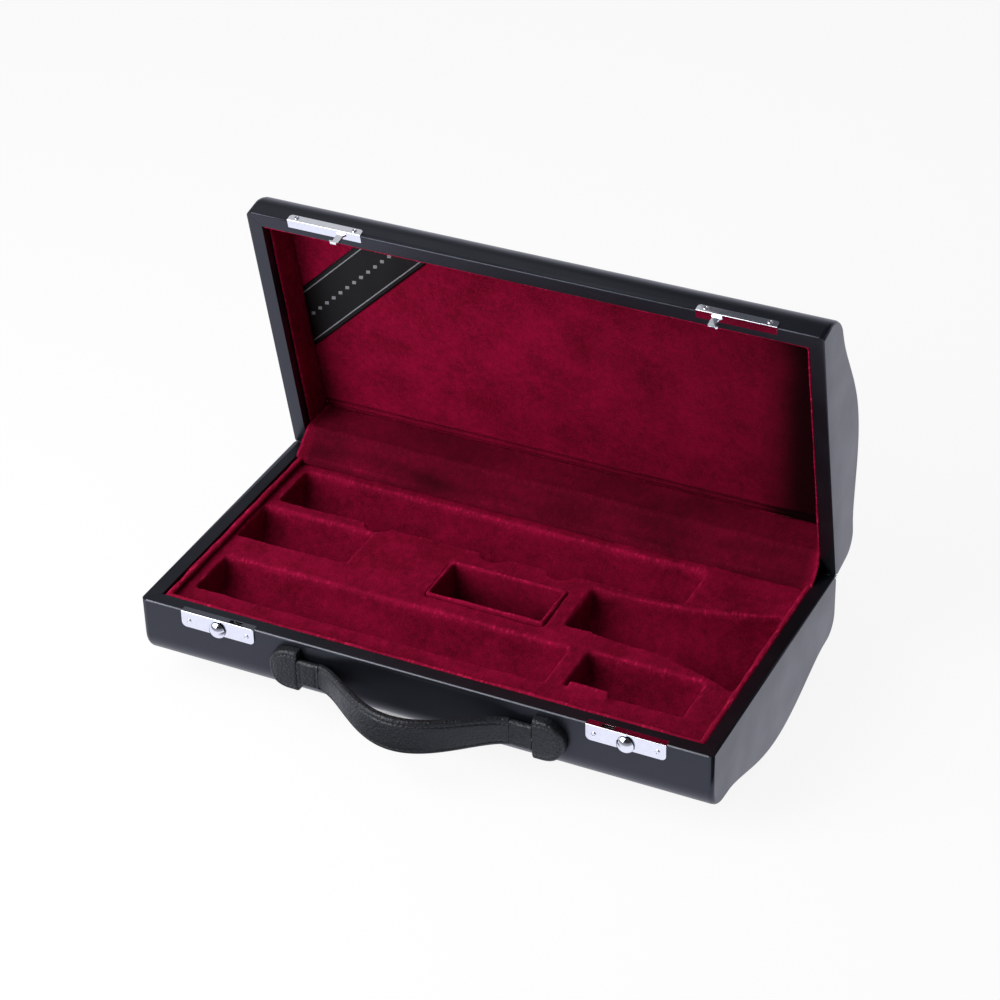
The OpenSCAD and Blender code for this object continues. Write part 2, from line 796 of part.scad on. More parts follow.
module foot_places() {
    for (x = [-foot_x, foot_x]) {
        for (y = [foot_front_y, foot_rear_y]) {
            translate([x, y, -lift]) children();
        }
    }
}

module foot_holes() {
    foot_places() cylinder(r = foot_screw_r + slip, h = lift, $fn = 24);
}

module base_wrap() {
    color(leather) place() difference() {
        wrap(base_line, -1);
        latch_cuts();
        anchor_holes();
        foot_holes();
    }
}

module base_end_covers() { color(leather) place() end_covers(base_line, -1); }
module base_rim_ends() { color(leather) place() rim_ends(-1); }
module base_end_boards() { color(ply) place() end_boards(base_line, -1); }
module base_rear_board() { color(ply) place() long_board(base_line, -1, true); }

module base_front_board() {
    color(ply) place() difference() {
        long_board(base_line, -1, false);
        anchor_holes();
    }
}

module base_bottom_board() {
    color(ply) place() difference() {
        bent_board(base_line, -1);
        foot_holes();
    }
}

// Feet: moulded rubber, their tops cut to the belly, screwed up into the bottom board
module feet() {
    h = lift - base_shoulder;
    color(rubber) place() difference() {
        foot_places() rotate_extrude($fn = 48)
            polygon(concat(foot_line, [[foot_r, h], [0, h]]));
        along(-case_l/2, case_l/2, -1) polygon(inset(base_line, -2*eps));
        foot_places() translate([0, 0, -eps]) cylinder(r = head_hole_r, h = head_hole_h, $fn = 32);
        foot_holes();
    }
}

// Pan-head screws, their heads sunk in the feet
module foot_screws() {
    color(steel) place() for (x = [-foot_x, foot_x]) {
        for (y = [foot_front_y, foot_rear_y]) {
            board = base_shoulder + belly(y, base_depth - base_shoulder) - cloth_t - board_t;
            h = lift - board - gap - head_z;
            translate([x, y, head_z - lift]) rotate_extrude($fn = 24)
                polygon(concat(head, [[foot_screw_r, head[2][1]], [foot_screw_r, h], [0, h]]));
        }
    }
}

// Insert: one block that follows the boards, cut out for what it holds, with a small flap
// that stands at the round well's near lip
relief_x = [-92, -14, 30];
relief_r = 9;
relief_set = 2;
relief_deep = 6;
flap_x = 4;
flap_l = 25;
flap_t = 1.6;
flap_foot = 6;
flap_top = -0.4;
module insert_block() {
    well_r = well_w/2;
    x = inner_x - gap;
    flap_y = round_well_y - well_r;
    color(velvet) place() difference() {
        union() {
            intersection() {
                along(-x, x, -1) polygon(inset(base_line, cloth_t + board_t + gap));
                translate([-inner_x, inner_front + gap, -base_depth])
                    cube([2*inner_x, inner_rear - inner_front - 2*gap, base_depth - plateau]);
            }
            translate([round_well_x0 + flap_x, 0, 0]) rotate([90, 0, 90]) linear_extrude(flap_l)
                polygon([[flap_y + eps, -well_axis], [flap_y - flap_foot, -plateau - eps],
                    [flap_y - flap_t, flap_top], [flap_y + eps, flap_top]]);
        }
        long_well(rear_well_x0, rear_well_l, rear_well_y, well_r);
        long_well(front_well_x0, front_well_l, front_well_y, well_r);
        long_well(side_well_x0, side_well_l, side_well_y, well_r);
        long_well(round_well_x0, round_well_l, round_well_y, well_r);
        flared_well();
        // shallow reliefs along the rear well's near side
        for (rx = relief_x) {
            translate([rx, rear_well_y - well_r + relief_set, -well_axis - relief_deep])
                cylinder(r = relief_r, h = well_axis + relief_deep, $fn = 48);
        }
        // pocket of the accessory box
        translate([box_x - box_l/2 - seat, box_y - box_w/2 - seat, -box_edge - box_h - seat])
            cube([box_l + 2*seat, box_w + 2*seat, box_h + box_edge]);
    }
}

module long_well(x0, l, y, r) {
    translate([x0, y, -well_axis]) trough([[0, r, r], [l, r, r]]);
}

// A trough with a round floor and upright sides. Each station gives its place, its half width
// and the depth of its floor.
trough_steps = 14;
trough_rise = 40;
module trough(stations) {
    n = trough_steps + 3;
    pts = [for (s = stations) each concat([[s[0], -s[1], trough_rise]],
        [for (i = [0:trough_steps]) let (a = 180 + 180*i/trough_steps)
            [s[0], s[1]*cos(a), s[2]*sin(a)]],
        [[s[0], s[1], trough_rise]])];
    last = len(stations) - 1;
    walls = [for (k = [0:last - 1]) for (i = [0:n - 1]) let (j = (i + 1) % n, a = k*n)
        each [[a + i, a + n + i, a + n + j], [a + i, a + n + j, a + j]]];
    ends = [[for (i = [0:n - 1]) i], [for (i = [n - 1:-1:0]) last*n + i]];
    polyhedron(pts, concat(walls, ends));
}

// Well that flares towards the right end, its floor sinking less than its sides open
flare_throat = 19.5;
flare_steps = 10;
flare_sink = 0.7;
module flared_well() {
    function grow(u) = (flare_w/2 - flare_throat)*pow(u, 2.6);
    translate([flare_x0, flare_y, -well_axis])
        trough([for (i = [0:flare_steps]) let (u = i/flare_steps)
            [flare_well_l*u, flare_throat + grow(u), flare_throat + flare_sink*grow(u)]]);
}

// Velvet piping round the top of the insert
module insert_piping() {
    x = inner_x - gap - piping_r;
    y0 = inner_front + gap + piping_r;
    y1 = inner_rear - gap - piping_r;
    z = -plateau + gap + piping_r;
    color(velvet) place() {
        for (y = [y0, y1]) {
            translate([-x, y, z]) rotate([0, 90, 0]) cylinder(r = piping_r, h = 2*x, $fn = 24);
        }
        for (s = [-1, 1]) {
            translate([s*x, y0, z]) rotate([-90, 0, 0]) cylinder(r = piping_r, h = y1 - y0, $fn = 24);
            for (y = [y0, y1]) {
                translate([s*x, y, z]) sphere(piping_r, $fn = 24);
            }
        }
    }
}

module accessory_box() {
    color(velvet) place() translate([box_x, box_y, -box_edge - box_h]) difference() {
        translate([-box_l/2, -box_w/2, 0]) cube([box_l, box_w, box_h]);
        translate([-box_l/2 + box_wall, -box_w/2 + box_wall, box_wall])
            cube([box_l - 2*box_wall, box_w - 2*box_wall, box_h]);
    }
}

// Lid shell
module lid_wrap() {
    color(leather) on_lid() difference() {
        wrap(lid_line, 1);
        lid_latch_cuts();
    }
}
module lid_end_covers() { color(leather) on_lid() end_covers(lid_line, 1); }
module lid_rim_ends() { color(leather) on_lid() rim_ends(1); }
module lid_end_boards() { color(ply) on_lid() end_boards(lid_line, 1); }
module lid_front_board() { color(ply) on_lid() long_board(lid_line, 1, false); }
module lid_rear_board() { color(ply) on_lid() long_board(lid_line, 1, true); }
module lid_top_board() { color(ply) on_lid() bent_board(lid_line, 1); }

// The space between the lid's boards, from one height to another
module lid_space(z0, z1) {
    x = inner_x - gap;
    intersection() {
        along(-x, x, 1) polygon(inset(lid_line, cloth_t + board_t + gap));
        translate([-x, inner_front + gap, z0]) cube([2*x, inner_rear - inner_front - 2*gap, z1 - z0]);
    }
}

// Foam block that fills the hump and carries the panel
module lid_foam() { color(foam) on_lid() lid_space(panel_depth + panel_t + seat, lid_height); }
module lid_panel() { color(velvet) on_lid() lid_space(panel_depth, panel_depth + panel_t); }

// Velvet on the four walls, between the rim and the panel, set lower on the left wall
module lid_wall_lining() {
    x = inner_x - gap - lining_t;
    y0 = inner_front + gap + lining_t;
    y1 = inner_rear - gap - lining_t;
    color(velvet) on_lid() difference() {
        lid_space(lining_top, panel_depth - seat);
        translate([-x, y0, 0]) cube([2*x, y1 - y0, panel_depth]);
        translate([-inner_x, y0, 0]) cube([inner_x - x + eps, y1 - y0, lining_top + lining_recess]);
    }
}

// Ribbon laid across the front left corner of the panel
ribbon_t = 0.5;
module corner_ribbon() {
    x0 = -inner_x + gap + lining_t + seat;
    y0 = inner_front + gap + lining_t + seat;
    far = band_reach + band_w*sqrt(2);
    color(satin) on_lid() translate([x0, y0, panel_depth - ribbon_t - seat]) linear_extrude(ribbon_t)
        polygon([[band_reach, 0], [far, 0], [0, far], [0, band_reach]]);
}

// Velvet apron that hides the hinges, bowed between the insert's edge and the lid's lining
apron_t = 1;
apron_bow = 2.2;
apron_steps = 10;
apron_side = [6, 10];
apron_low = [3.2, 0.3];
apron_high = [2.4, 3.2];
module hinge_apron() {
    a = [inner_rear - apron_low[0], apron_low[1]];
    b = swung_point(inner_rear - apron_high[0], apron_high[1]);
    across = unit([a[1] - b[1], b[0] - a[0]]);
    function mid(s, out) = a + (b - a)*s + (out + apron_bow*sin(180*s))*across;
    low = [for (i = [0:apron_steps]) mid(i/apron_steps, 0)];
    high = [for (i = [apron_steps:-1:0]) mid(i/apron_steps, apron_t)];
    color(velvet) place() translate([apron_side[0] - inner_x, 0, 0]) rotate([90, 0, 90])
        linear_extrude(2*inner_x - apron_side[0] - apron_side[1]) polygon(concat(low, high));
}

base_wrap();
base_end_covers();
base_rim_ends();
base_end_boards();
base_front_board();
base_rear_board();
base_bottom_board();
insert_block();
insert_piping();
accessory_box();
feet();
foot_screws();
base_latch_plate_left();
base_latch_plate_right();
base_latch_rivets();
latch_housing_left();
latch_housing_right();
latch_spring_left();
latch_spring_right();
latch_slide_left();
latch_slide_right();
thumb_disc_left();
thumb_disc_right();
handle_pad_left();
handle_pad_right();
handle_anchors();
handle_anchor_rivets();
handle_grip();
handle_straps();
handle_trunnions();
hinge_base_leaves();
hinge_lid_leaves();
hinge_pins();
hinge_base_screws();
hinge_lid_screws();
hinge_apron();
lid_wrap();
lid_end_covers();
lid_rim_ends();
lid_end_boards();
lid_front_board();
lid_rear_board();
lid_top_board();
lid_foam();
lid_panel();
lid_wall_lining();
corner_ribbon();
lid_latch_plate_left();
lid_latch_plate_right();
lid_latch_rivets();
lid_hook_left();
lid_hook_right();
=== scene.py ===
import math

import bmesh
import bpy
from mathutils import Matrix, Vector, noise


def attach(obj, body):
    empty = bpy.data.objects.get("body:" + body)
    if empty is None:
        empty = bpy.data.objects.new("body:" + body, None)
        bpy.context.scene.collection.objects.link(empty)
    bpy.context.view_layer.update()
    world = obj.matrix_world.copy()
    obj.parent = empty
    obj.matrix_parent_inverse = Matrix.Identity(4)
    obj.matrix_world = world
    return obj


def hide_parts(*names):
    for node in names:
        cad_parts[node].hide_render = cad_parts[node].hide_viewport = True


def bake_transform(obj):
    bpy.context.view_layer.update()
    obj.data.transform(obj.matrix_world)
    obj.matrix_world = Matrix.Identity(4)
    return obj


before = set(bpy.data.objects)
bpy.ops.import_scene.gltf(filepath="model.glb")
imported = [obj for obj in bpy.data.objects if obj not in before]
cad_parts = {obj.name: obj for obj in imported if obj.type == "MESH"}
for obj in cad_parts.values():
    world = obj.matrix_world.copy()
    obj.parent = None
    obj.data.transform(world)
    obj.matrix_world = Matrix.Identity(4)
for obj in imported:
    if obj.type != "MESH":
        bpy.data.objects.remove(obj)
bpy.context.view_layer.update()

# Room. The open case stands on a pale table under soft studio light. The camera looks down
# on it from its front right corner with a long lens, and sees the table and the room white.
scene = bpy.context.scene
scene.view_settings.view_transform = "Standard"
case_middle = Vector((0.0, 0.00259, 0.0596))
azimuth, elevation, roll = (math.radians(a) for a in (26.75, 33.91, -1.56))
lens, eye_away, eye_right, eye_up = 109.51, 1.7708, 0.00669, 0.05085
towards = Vector((
    math.sin(azimuth) * math.cos(elevation),
    -math.cos(azimuth) * math.cos(elevation),
    math.sin(elevation),
))
level = Vector((math.cos(azimuth), math.sin(azimuth), 0.0))
upright = towards.cross(level)
right = level * math.cos(roll) + upright * math.sin(roll)
up = upright * math.cos(roll) - level * math.sin(roll)
camera = bpy.data.objects.new("camera", bpy.data.cameras.new("camera"))
camera.data.sensor_width = 36.0
camera.data.lens = lens
camera.data.clip_end = 20.0
eye = case_middle + towards * eye_away + right * eye_right + up * eye_up
camera.matrix_world = (
    Matrix.Translation(eye) @ Matrix((right, up, towards)).transposed().to_4x4()
)
scene.collection.objects.link(camera)
scene.camera = camera


def linear(code):
    """The linear colour of an sRGB hex code."""
    parts = [int(code[i : i + 2], 16) / 255 for i in (1, 3, 5)]
    return [c / 12.92 if c <= 0.04045 else ((c + 0.055) / 1.055) ** 2.4 for c in parts] + [1.0]


def add_node(finish, kind, inputs=(), **settings):
    """Adds one shader node with its settings. Each of its inputs is linked from a socket, or
    from a node's first output, or else filled with a plain value or a hex colour."""
    made = finish.node_tree.nodes.new("ShaderNode" + kind)
    for name, value in settings.items():
        setattr(made, name, value)
    for key, value in dict(inputs).items():
        if isinstance(value, bpy.types.Node):
            value = value.outputs[0]
        if isinstance(value, bpy.types.NodeSocket):
            finish.node_tree.links.new(value, made.inputs[key])
        else:
            made.inputs[key].default_value = linear(value) if isinstance(value, str) else value
    return made


def blank_finish(name):
    """A new material with no nodes."""
    made = bpy.data.materials.new(name)
    made.use_nodes = True
    made.node_tree.nodes.clear()
    return made


room = bpy.data.worlds.new("studio")
room.use_nodes = True
room.node_tree.nodes.clear()
scene.world = room
# The camera sees the room white, mirrors see a bright horizon, and its own light is weak.
ray = add_node(room, "LightPath").outputs
mirrored = add_node(room, "Math", {
    0: ray["Is Glossy Ray"], 1: ray["Is Transmission Ray"],
}, operation="MAXIMUM")
place = add_node(room, "TexCoord").outputs["Generated"]
_, forward, height = add_node(room, "SeparateXYZ", {0: place}).outputs
low_down = add_node(room, "MapRange", {0: height, 1: 0.12, 2: 0.42, 3: 1.0, 4: 0.1})
in_front = add_node(room, "MapRange", {0: forward, 1: -0.5, 2: 0.2, 3: 0.35, 4: 1.0})
horizon = add_node(room, "Math", {0: low_down, 1: in_front}, operation="MULTIPLY")
lit = add_node(room, "Background", {"Color": "#f4f6ff", "Strength": 0.18})
walls = add_node(room, "Background", {"Color": "#eef0ff", "Strength": horizon})
shown = add_node(room, "Background", {"Color": "#ffffff", "Strength": 1.0})
sky = add_node(room, "MixShader", {0: mirrored, 1: lit, 2: walls})
sky = add_node(room, "MixShader", {0: ray["Is Camera Ray"], 1: sky, 2: shown})
add_node(room, "OutputWorld", {"Surface": sky})

lamps_aim = Vector((0.0, 0.0, 0.1))
for name, place, size, power, in_mirrors in (
    ("key", (-0.75, -0.85, 0.95), 1.1, 22.5, True),
    ("low_fill", (-0.7, -0.9, 0.35), 0.5, 5.0, False),
    ("top", (0.1, 0.0, 1.5), 1.2, 4.0, False),
    ("rear_left", (-0.6, 0.62, 1.2), 0.6, 0.6, True),
):
    lamp = bpy.data.objects.new(name, bpy.data.lights.new(name, "AREA"))
    lamp.data.size = size
    lamp.data.energy = power
    lamp.location = place
    lamp.rotation_euler = (lamps_aim - Vector(place)).to_track_quat("-Z", "Y").to_euler()
    lamp.visible_glossy = in_mirrors
    scene.collection.objects.link(lamp)

# Matt paper that looks white from the camera. Its glow drops in an oval below the grip and over
# the case's footprint: a painted shadow, where the paper's own lit shade shows. Where the case
# mirrors it, it glows faintly blue, brighter behind and to the right, less far in front, and least
# in a spot before the grip: a painted reflection with a painted shadow of the grip, so that the
# walls show even greys.
table_paper = blank_finish("white_table_paper")
ray = add_node(table_paper, "LightPath").outputs
mirrored = add_node(table_paper, "Math", {
    0: ray["Is Glossy Ray"], 1: ray["Is Transmission Ray"],
}, operation="MAXIMUM")
spot = add_node(table_paper, "TexCoord").outputs["Object"]


def from_oval(shift, scale, low, high, at_low, at_high):
    """Adds a ramp of how far a spot of the table lies from the middle of an oval."""
    oval = add_node(table_paper, "Mapping", {"Vector": spot, "Location": shift, "Scale": scale})
    away = add_node(table_paper, "VectorMath", {0: oval}, operation="LENGTH").outputs["Value"]
    return add_node(table_paper, "MapRange", {0: away, 1: low, 2: high, 3: at_low, 4: at_high})


# Painted shadow below the grip and under the case, where the glow gives way to the lit paper.
grip_painted_shadow = from_oval((1.1, 2.75, 0.0), (33.0, 50.0, 1.0), 0.2, 1.3, 0.15, 0.9)
from_middle = add_node(table_paper, "Mapping", {"Vector": spot, "Location": (0.0, -0.015, 0.0)})
from_middle = add_node(table_paper, "VectorMath", {0: from_middle}, operation="ABSOLUTE")
across, along, _ = add_node(table_paper, "SeparateXYZ", {0: from_middle}).outputs
across = add_node(table_paper, "MapRange", {0: across, 1: 0.115, 2: 0.15, 3: 0.3, 4: 0.9})
along = add_node(table_paper, "MapRange", {0: along, 1: 0.038, 2: 0.068, 3: 0.3, 4: 0.9})
case_painted_shadow = add_node(table_paper, "Math", {0: across, 1: along}, operation="MAXIMUM")
open_share = add_node(table_paper, "Math", {0: grip_painted_shadow, 1: case_painted_shadow}, operation="MINIMUM")
share = add_node(table_paper, "Math", {
    0: ray["Is Camera Ray"], 1: open_share, 2: mirrored,
}, operation="MULTIPLY_ADD")

# What mirrors see: a painted brighter glow behind, a dimmer one far in front, and a painted shadow
# of the grip.
across, along, _ = add_node(table_paper, "SeparateXYZ", {0: spot}).outputs
behind = add_node(table_paper, "Math", {0: across, 1: along}, operation="ADD")
behind = add_node(table_paper, "MapRange", {0: behind, 1: 0.06, 2: 0.2, 3: 1.08, 4: 1.16})
before = add_node(table_paper, "MapRange", {0: along, 1: -0.45, 2: -0.25, 3: 0.45, 4: 1.0})
mirrored_grip_shadow = from_oval((0.3, 2.6, 0.0), (12.0, 18.0, 1.0), 0.5, 1.3, 0.18, 1.0)
seen = add_node(table_paper, "Math", {0: behind, 1: before}, operation="MULTIPLY")
seen = add_node(table_paper, "Math", {0: seen, 1: mirrored_grip_shadow}, operation="MULTIPLY")
strength = add_node(table_paper, "Mix", {
    0: ray["Is Camera Ray"], 2: seen, 3: 1.0,
}, data_type="FLOAT")
tint = add_node(table_paper, "Mix", {
    0: mirrored, 6: "#ffffff", 7: "#f3f3ff",
}, data_type="RGBA").outputs[2]
paper = add_node(table_paper, "BsdfDiffuse", {"Color": "#efefef"})
glow = add_node(table_paper, "Emission", {"Color": tint, "Strength": strength})
paper = add_node(table_paper, "MixShader", {0: share, 1: paper, 2: glow})
add_node(table_paper, "OutputMaterial", {"Surface": paper})

work = bmesh.new()
bmesh.ops.create_grid(work, x_segments=1, y_segments=1, size=4.0)
sheet = bpy.data.meshes.new("table")
work.to_mesh(sheet)
work.free()
sheet.materials.append(table_paper)
table = bpy.data.objects.new("table", sheet)
scene.collection.objects.link(table)

# Boards. Ends, front, rear and bent bottom and top of birch plywood, glued into a tub and a
# lid. Leathercloth and lining hide them. The lid's long front corner is rounder than the
# frame's, so every lid piece behind it is drawn in by the same amount.
hinge_line = Vector((0.0, 0.094991, 0.0598))
lid_frame = (
    Matrix.Translation(hinge_line)
    @ Matrix.Rotation(math.radians(-78.4), 4, "X")
    @ Matrix.Translation((0.0, -0.0908, 0.0002))
)
into_lid = lid_frame.inverted()
front_y, eased_from = -0.094, 0.0065
shoulder, corner, flat_end = 0.0315, 0.016, -0.074
eased_shoulder, eased_corner, eased_end = 0.0294, 0.022, -0.012
hump_extra, hump_middle, hump_half, hump_power = 0.0155, 0.0025, 0.0765, 1.8
case_shift = Vector((0.0, 0.004191, 0.0596))


def eased(y, height):
    """Height above the lid's rim that a point of the frame's lid is drawn in to."""
    if y > eased_end or height < eased_from:
        return height
    whole = shoulder
    if y < front_y + corner:
        whole += math.sqrt(max(corner ** 2 - (front_y + corner - y) ** 2, 0.0)) - corner
    if y > flat_end:
        whole += hump_extra * (1 - ((y - hump_middle) / hump_half) ** 2) ** hump_power
    if y < front_y + eased_corner:
        rise = math.sqrt(max(eased_corner ** 2 - (front_y + eased_corner - y) ** 2, 0.0))
        target = eased_shoulder + rise - eased_corner
    else:
        from_end = min((eased_end - y) / (eased_end - flat_end), 1.0)
        target = whole - (shoulder - eased_shoulder) * from_end
    return eased_from + (height - eased_from) * (target - eased_from) / (whole - eased_from)


def ease_corner(made):
    """Draws a bmesh of a lid piece in at the lid's front corner."""
    for vert in made.verts:
        here = into_lid @ vert.co
        here.z = eased(here.y, here.z)
        vert.co = lid_frame @ here


def dress(finish, *names):
    """Gives CAD nodes that stay in view their finish."""
    for name in names:
        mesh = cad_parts[name].data
        mesh.materials.clear()
        mesh.materials.append(finish)


# Birch plywood, sanded: pale, with a long grain 6 mm wide along the case and thin plies.
plywood = blank_finish("sanded_birch_plywood")
place = add_node(plywood, "TexCoord").outputs["Object"]
place = add_node(plywood, "Mapping", {"Vector": place, "Scale": (0.08, 1.0, 1.0)})
grain = add_node(plywood, "TexNoise", {
    "Vector": place, "Scale": 1000 / 6, "Detail": 6.0, "Distortion": 0.6,
})
wood = add_node(plywood, "Mix", {0: grain, 6: "#a57c4a", 7: "#d9b98a"}, data_type="RGBA")
relief = add_node(plywood, "Bump", {"Height": grain, "Strength": 0.3, "Distance": 0.0002})
surface = add_node(plywood, "BsdfPrincipled", {
    "Base Color": wood.outputs[2], "Roughness": 0.6, "Normal": relief,
})
add_node(plywood, "OutputMaterial", {"Surface": surface})
dress(
    plywood,
    "base_end_boards", "base_front_board", "base_rear_board", "base_bottom_board",
    "lid_rear_board",
)


def merged_copy(node):
    """A bmesh of a CAD node, its loose triangles joined into flat faces."""
    made = bmesh.new()
    made.from_mesh(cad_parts[node].data)
    bmesh.ops.remove_doubles(made, verts=made.verts, dist=2e-6)
    bmesh.ops.dissolve_limit(
        made, angle_limit=math.radians(0.4), verts=made.verts, edges=made.edges,
    )
    return made


def piece(name, made, finish, slot, body, *stands_for, crisp=True):
    """Turns a bmesh into a piece that rides on a body and stands for CAD nodes."""
    bmesh.ops.recalc_face_normals(made, faces=made.faces)
    for face in made.faces:
        face.smooth = True
    mesh = bpy.data.meshes.new(name)
    made.to_mesh(mesh)
    made.free()
    mesh.materials.append(finish)
    shape = bpy.data.objects.new(name, mesh)
    scene.collection.objects.link(shape)
    if crisp:
        mesh.set_sharp_from_angle(angle=math.radians(55))
        flat = shape.modifiers.new("flat_faces", "WEIGHTED_NORMAL")
        flat.keep_sharp = True
        flat.weight = 60
    if body:
        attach(shape, body)
    if stands_for:
        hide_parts(*stands_for)
    return shape


for node in ("lid_end_boards", "lid_front_board", "lid_top_board"):
    made = merged_copy(node)
    ease_corner(made)
    piece(node + "_eased", made, plywood, "plywood", "lid", node)

# Leathercloth. Black calendered cloth glued round the long sides and turned over the rims,
# with strips mitred to it at the ends, and thin padded covers with rolled edges on the ends.
fold_roll = 0.0009
strip_roll = 0.00025
cover_joint_x = 0.1765
fold_reach = 0.0002

# Vinyl-coated cotton, calendered: a cold near-black with a soft gloss that turns grey at a
# slant, paler along the base's front fold, partly wear and partly a painted highlight, and a
# pebble 1.2 mm wide, drawn a little coarse to show.
leathercloth = blank_finish("calendered_vinyl_leathercloth")
place = add_node(leathercloth, "TexCoord").outputs["Object"]
pebble = add_node(leathercloth, "TexVoronoi", {
    "Vector": place, "Scale": 1000 / 1.2,
}, feature="SMOOTH_F1")
cloud = add_node(leathercloth, "TexNoise", {"Vector": place, "Scale": 1000 / 30, "Detail": 5.0})
fold_wear_and_highlight = add_node(leathercloth, "Attribute", attribute_name="worn_and_lit_fold").outputs["Fac"]
tone = "#08090b"
for share, colour in ((cloud, "#101116"), (fold_wear_and_highlight, "#a8a9b0")):
    tone = add_node(leathercloth, "Mix", {
        0: share, 6: tone, 7: colour,
    }, data_type="RGBA").outputs[2]
gloss = add_node(leathercloth, "MapRange", {0: cloud, 1: 0.3, 2: 0.7, 3: 0.3, 4: 0.38})
relief = add_node(leathercloth, "Bump", {"Height": pebble, "Strength": 0.3, "Distance": 0.0001})
surface = add_node(leathercloth, "BsdfPrincipled", {
    "Base Color": tone, "Roughness": gloss, "IOR": 1.6, "Specular Tint": "#dae0f6",
    "Normal": relief,
})
add_node(leathercloth, "OutputMaterial", {"Surface": surface})


def round_edges(made, radius, segments=3, turn=32.0, at=None, clamp=True):
    """Rounds a bmesh's sharp edges, or those that at() picks, and returns the new faces."""
    sharp = [
        edge for edge in made.edges
        if len(edge.link_faces) == 2
        and edge.calc_face_angle(0.0) > math.radians(turn)
        and (at is None or at(edge))
    ]
    return bmesh.ops.bevel(
        made, geom=sharp, offset=radius, offset_type="OFFSET", segments=segments,
        profile=0.5, affect="EDGES", material=-1, clamp_overlap=clamp,
    )["faces"]


def inside_the_covers(edge):
    """Picks the edges that don't lie against an end cover."""
    return min(abs(vert.co.x) for vert in edge.verts) < cover_joint_x


def from_fold(vert):
    """Distance of a point from the corner of a front rim, of the base or of the open lid."""
    places = (into_lid @ vert.co, vert.co - case_shift)
    return min(math.hypot(here.y - front_y, here.z) for here in places)


def front_fold(edge):
    """Picks the cloth's long outer edge along a front rim."""
    return max(from_fold(vert) for vert in edge.verts) < fold_reach


# The base's front fold is painted paler, partly wear and partly a painted highlight; the lid's
# fold gets none.
for part, wear_and_highlight in (("base", 0.26), ("lid", 0.0)):
    made = merged_copy(part + "_wrap")
    if part == "lid":
        ease_corner(made)
    round_edges(made, fold_roll, segments=4, at=front_fold, clamp=False)
    worn_and_lit_fold = made.verts.layers.float.new("worn_and_lit_fold")
    for vert in made.verts:
        vert[worn_and_lit_fold] = wear_and_highlight * (from_fold(vert) < 0.8 * fold_roll)
    piece(part + "_cloth", made, leathercloth, "leathercloth", part, part + "_wrap")
    made = merged_copy(part + "_rim_ends")
    round_edges(made, strip_roll, segments=2, at=inside_the_covers)
    piece(part + "_rim_strips", made, leathercloth, "leathercloth", part, part + "_rim_ends")
    made = merged_copy(part + "_end_covers")
    if part == "lid":
        ease_corner(made)
    piece(part + "_covers", made, leathercloth, "leathercloth", part, part + "_end_covers")

# Feet. Four domed rubber buttons, each held by a round-headed steel screw from below.
# Moulded natural rubber: dark and matt, with mould grain 1 mm wide.
black_rubber = blank_finish("moulded_rubber")
place = add_node(black_rubber, "TexCoord").outputs["Object"]
grit = add_node(black_rubber, "TexNoise", {"Vector": place, "Scale": 1000 / 1.0, "Detail": 3.0})
tone = add_node(black_rubber, "Mix", {0: grit, 6: "#17181a", 7: "#26272a"}, data_type="RGBA")
relief = add_node(black_rubber, "Bump", {"Height": grit, "Strength": 0.3, "Distance": 0.0001})
surface = add_node(black_rubber, "BsdfPrincipled", {
    "Base Color": tone.outputs[2], "Roughness": 0.75, "Normal": relief,
})
add_node(black_rubber, "OutputMaterial", {"Surface": surface})
foot_edge = 0.0004
made = merged_copy("feet")
round_edges(made, foot_edge, segments=2)
piece("rubber_feet", made, black_rubber, "rubber", "base", "feet")

# Zinc-plated steel, turned and pressed: grey with a fine satin grain 0.8 mm wide.
plated_steel = blank_finish("zinc_plated_steel")
place = add_node(plated_steel, "TexCoord").outputs["Object"]
brush = add_node(plated_steel, "TexNoise", {"Vector": place, "Scale": 1000 / 0.8, "Detail": 4.0})
tone = add_node(plated_steel, "Mix", {0: brush, 6: "#8f9297", 7: "#b5b8bc"}, data_type="RGBA")
gloss = add_node(plated_steel, "MapRange", {0: brush, 1: 0.3, 2: 0.7, 3: 0.28, 4: 0.42})
surface = add_node(plated_steel, "BsdfPrincipled", {
    "Base Color": tone.outputs[2], "Metallic": 1.0, "Roughness": gloss,
})
add_node(plated_steel, "OutputMaterial", {"Surface": surface})
dress(plated_steel, "foot_screws")

# Insert. One moulded block covered in crimson velvet that is glued down into every well, so
# each lip is soft and a little wavy. A velvet roll edges it, and a velvet box stands in it.
velvet_grid, lip_passes = 0.0013, 5
roll_grid, roll_passes = 0.0008, 2
box_grid, box_passes = 0.0009, 3
roll_step = 0.001

# Cotton velvet: deep crimson pile that is dark from above and lights up at a slant, brushed
# into clouds 30 mm and streaks 4 mm wide. The pile is drawn 0.8 mm wide so that it shows.
# Its crests and the roll's top carry a painted highlight, its creases a painted shade, and where
# the attribute says, painted shade and pile that lies over make it darker.
velvet = blank_finish("crimson_cotton_velvet")
place = add_node(velvet, "TexCoord").outputs["Object"]
cloud = add_node(velvet, "TexNoise", {
    "Vector": place, "Scale": 1000 / 30, "Detail": 6.0, "Roughness": 0.6,
})
nap = add_node(velvet, "TexNoise", {"Vector": place, "Scale": 1000 / 4, "Detail": 3.0})
pile = add_node(velvet, "TexNoise", {"Vector": place, "Scale": 1000 / 0.8, "Detail": 2.0})
combed = add_node(velvet, "Mapping", {"Vector": place, "Scale": (1.0, 0.22, 0.6)})
streak = add_node(velvet, "TexNoise", {"Vector": combed, "Scale": 1000 / 1.5, "Detail": 3.0})
streak = add_node(velvet, "MapRange", {0: streak, 1: 0.54, 2: 0.68, 3: 0.2, 4: 1.0})
brushed = add_node(velvet, "Mix", {0: 0.35, 2: cloud, 3: nap}, data_type="FLOAT")
brushed = add_node(velvet, "Mix", {0: 0.36, 2: brushed, 3: pile}, data_type="FLOAT")
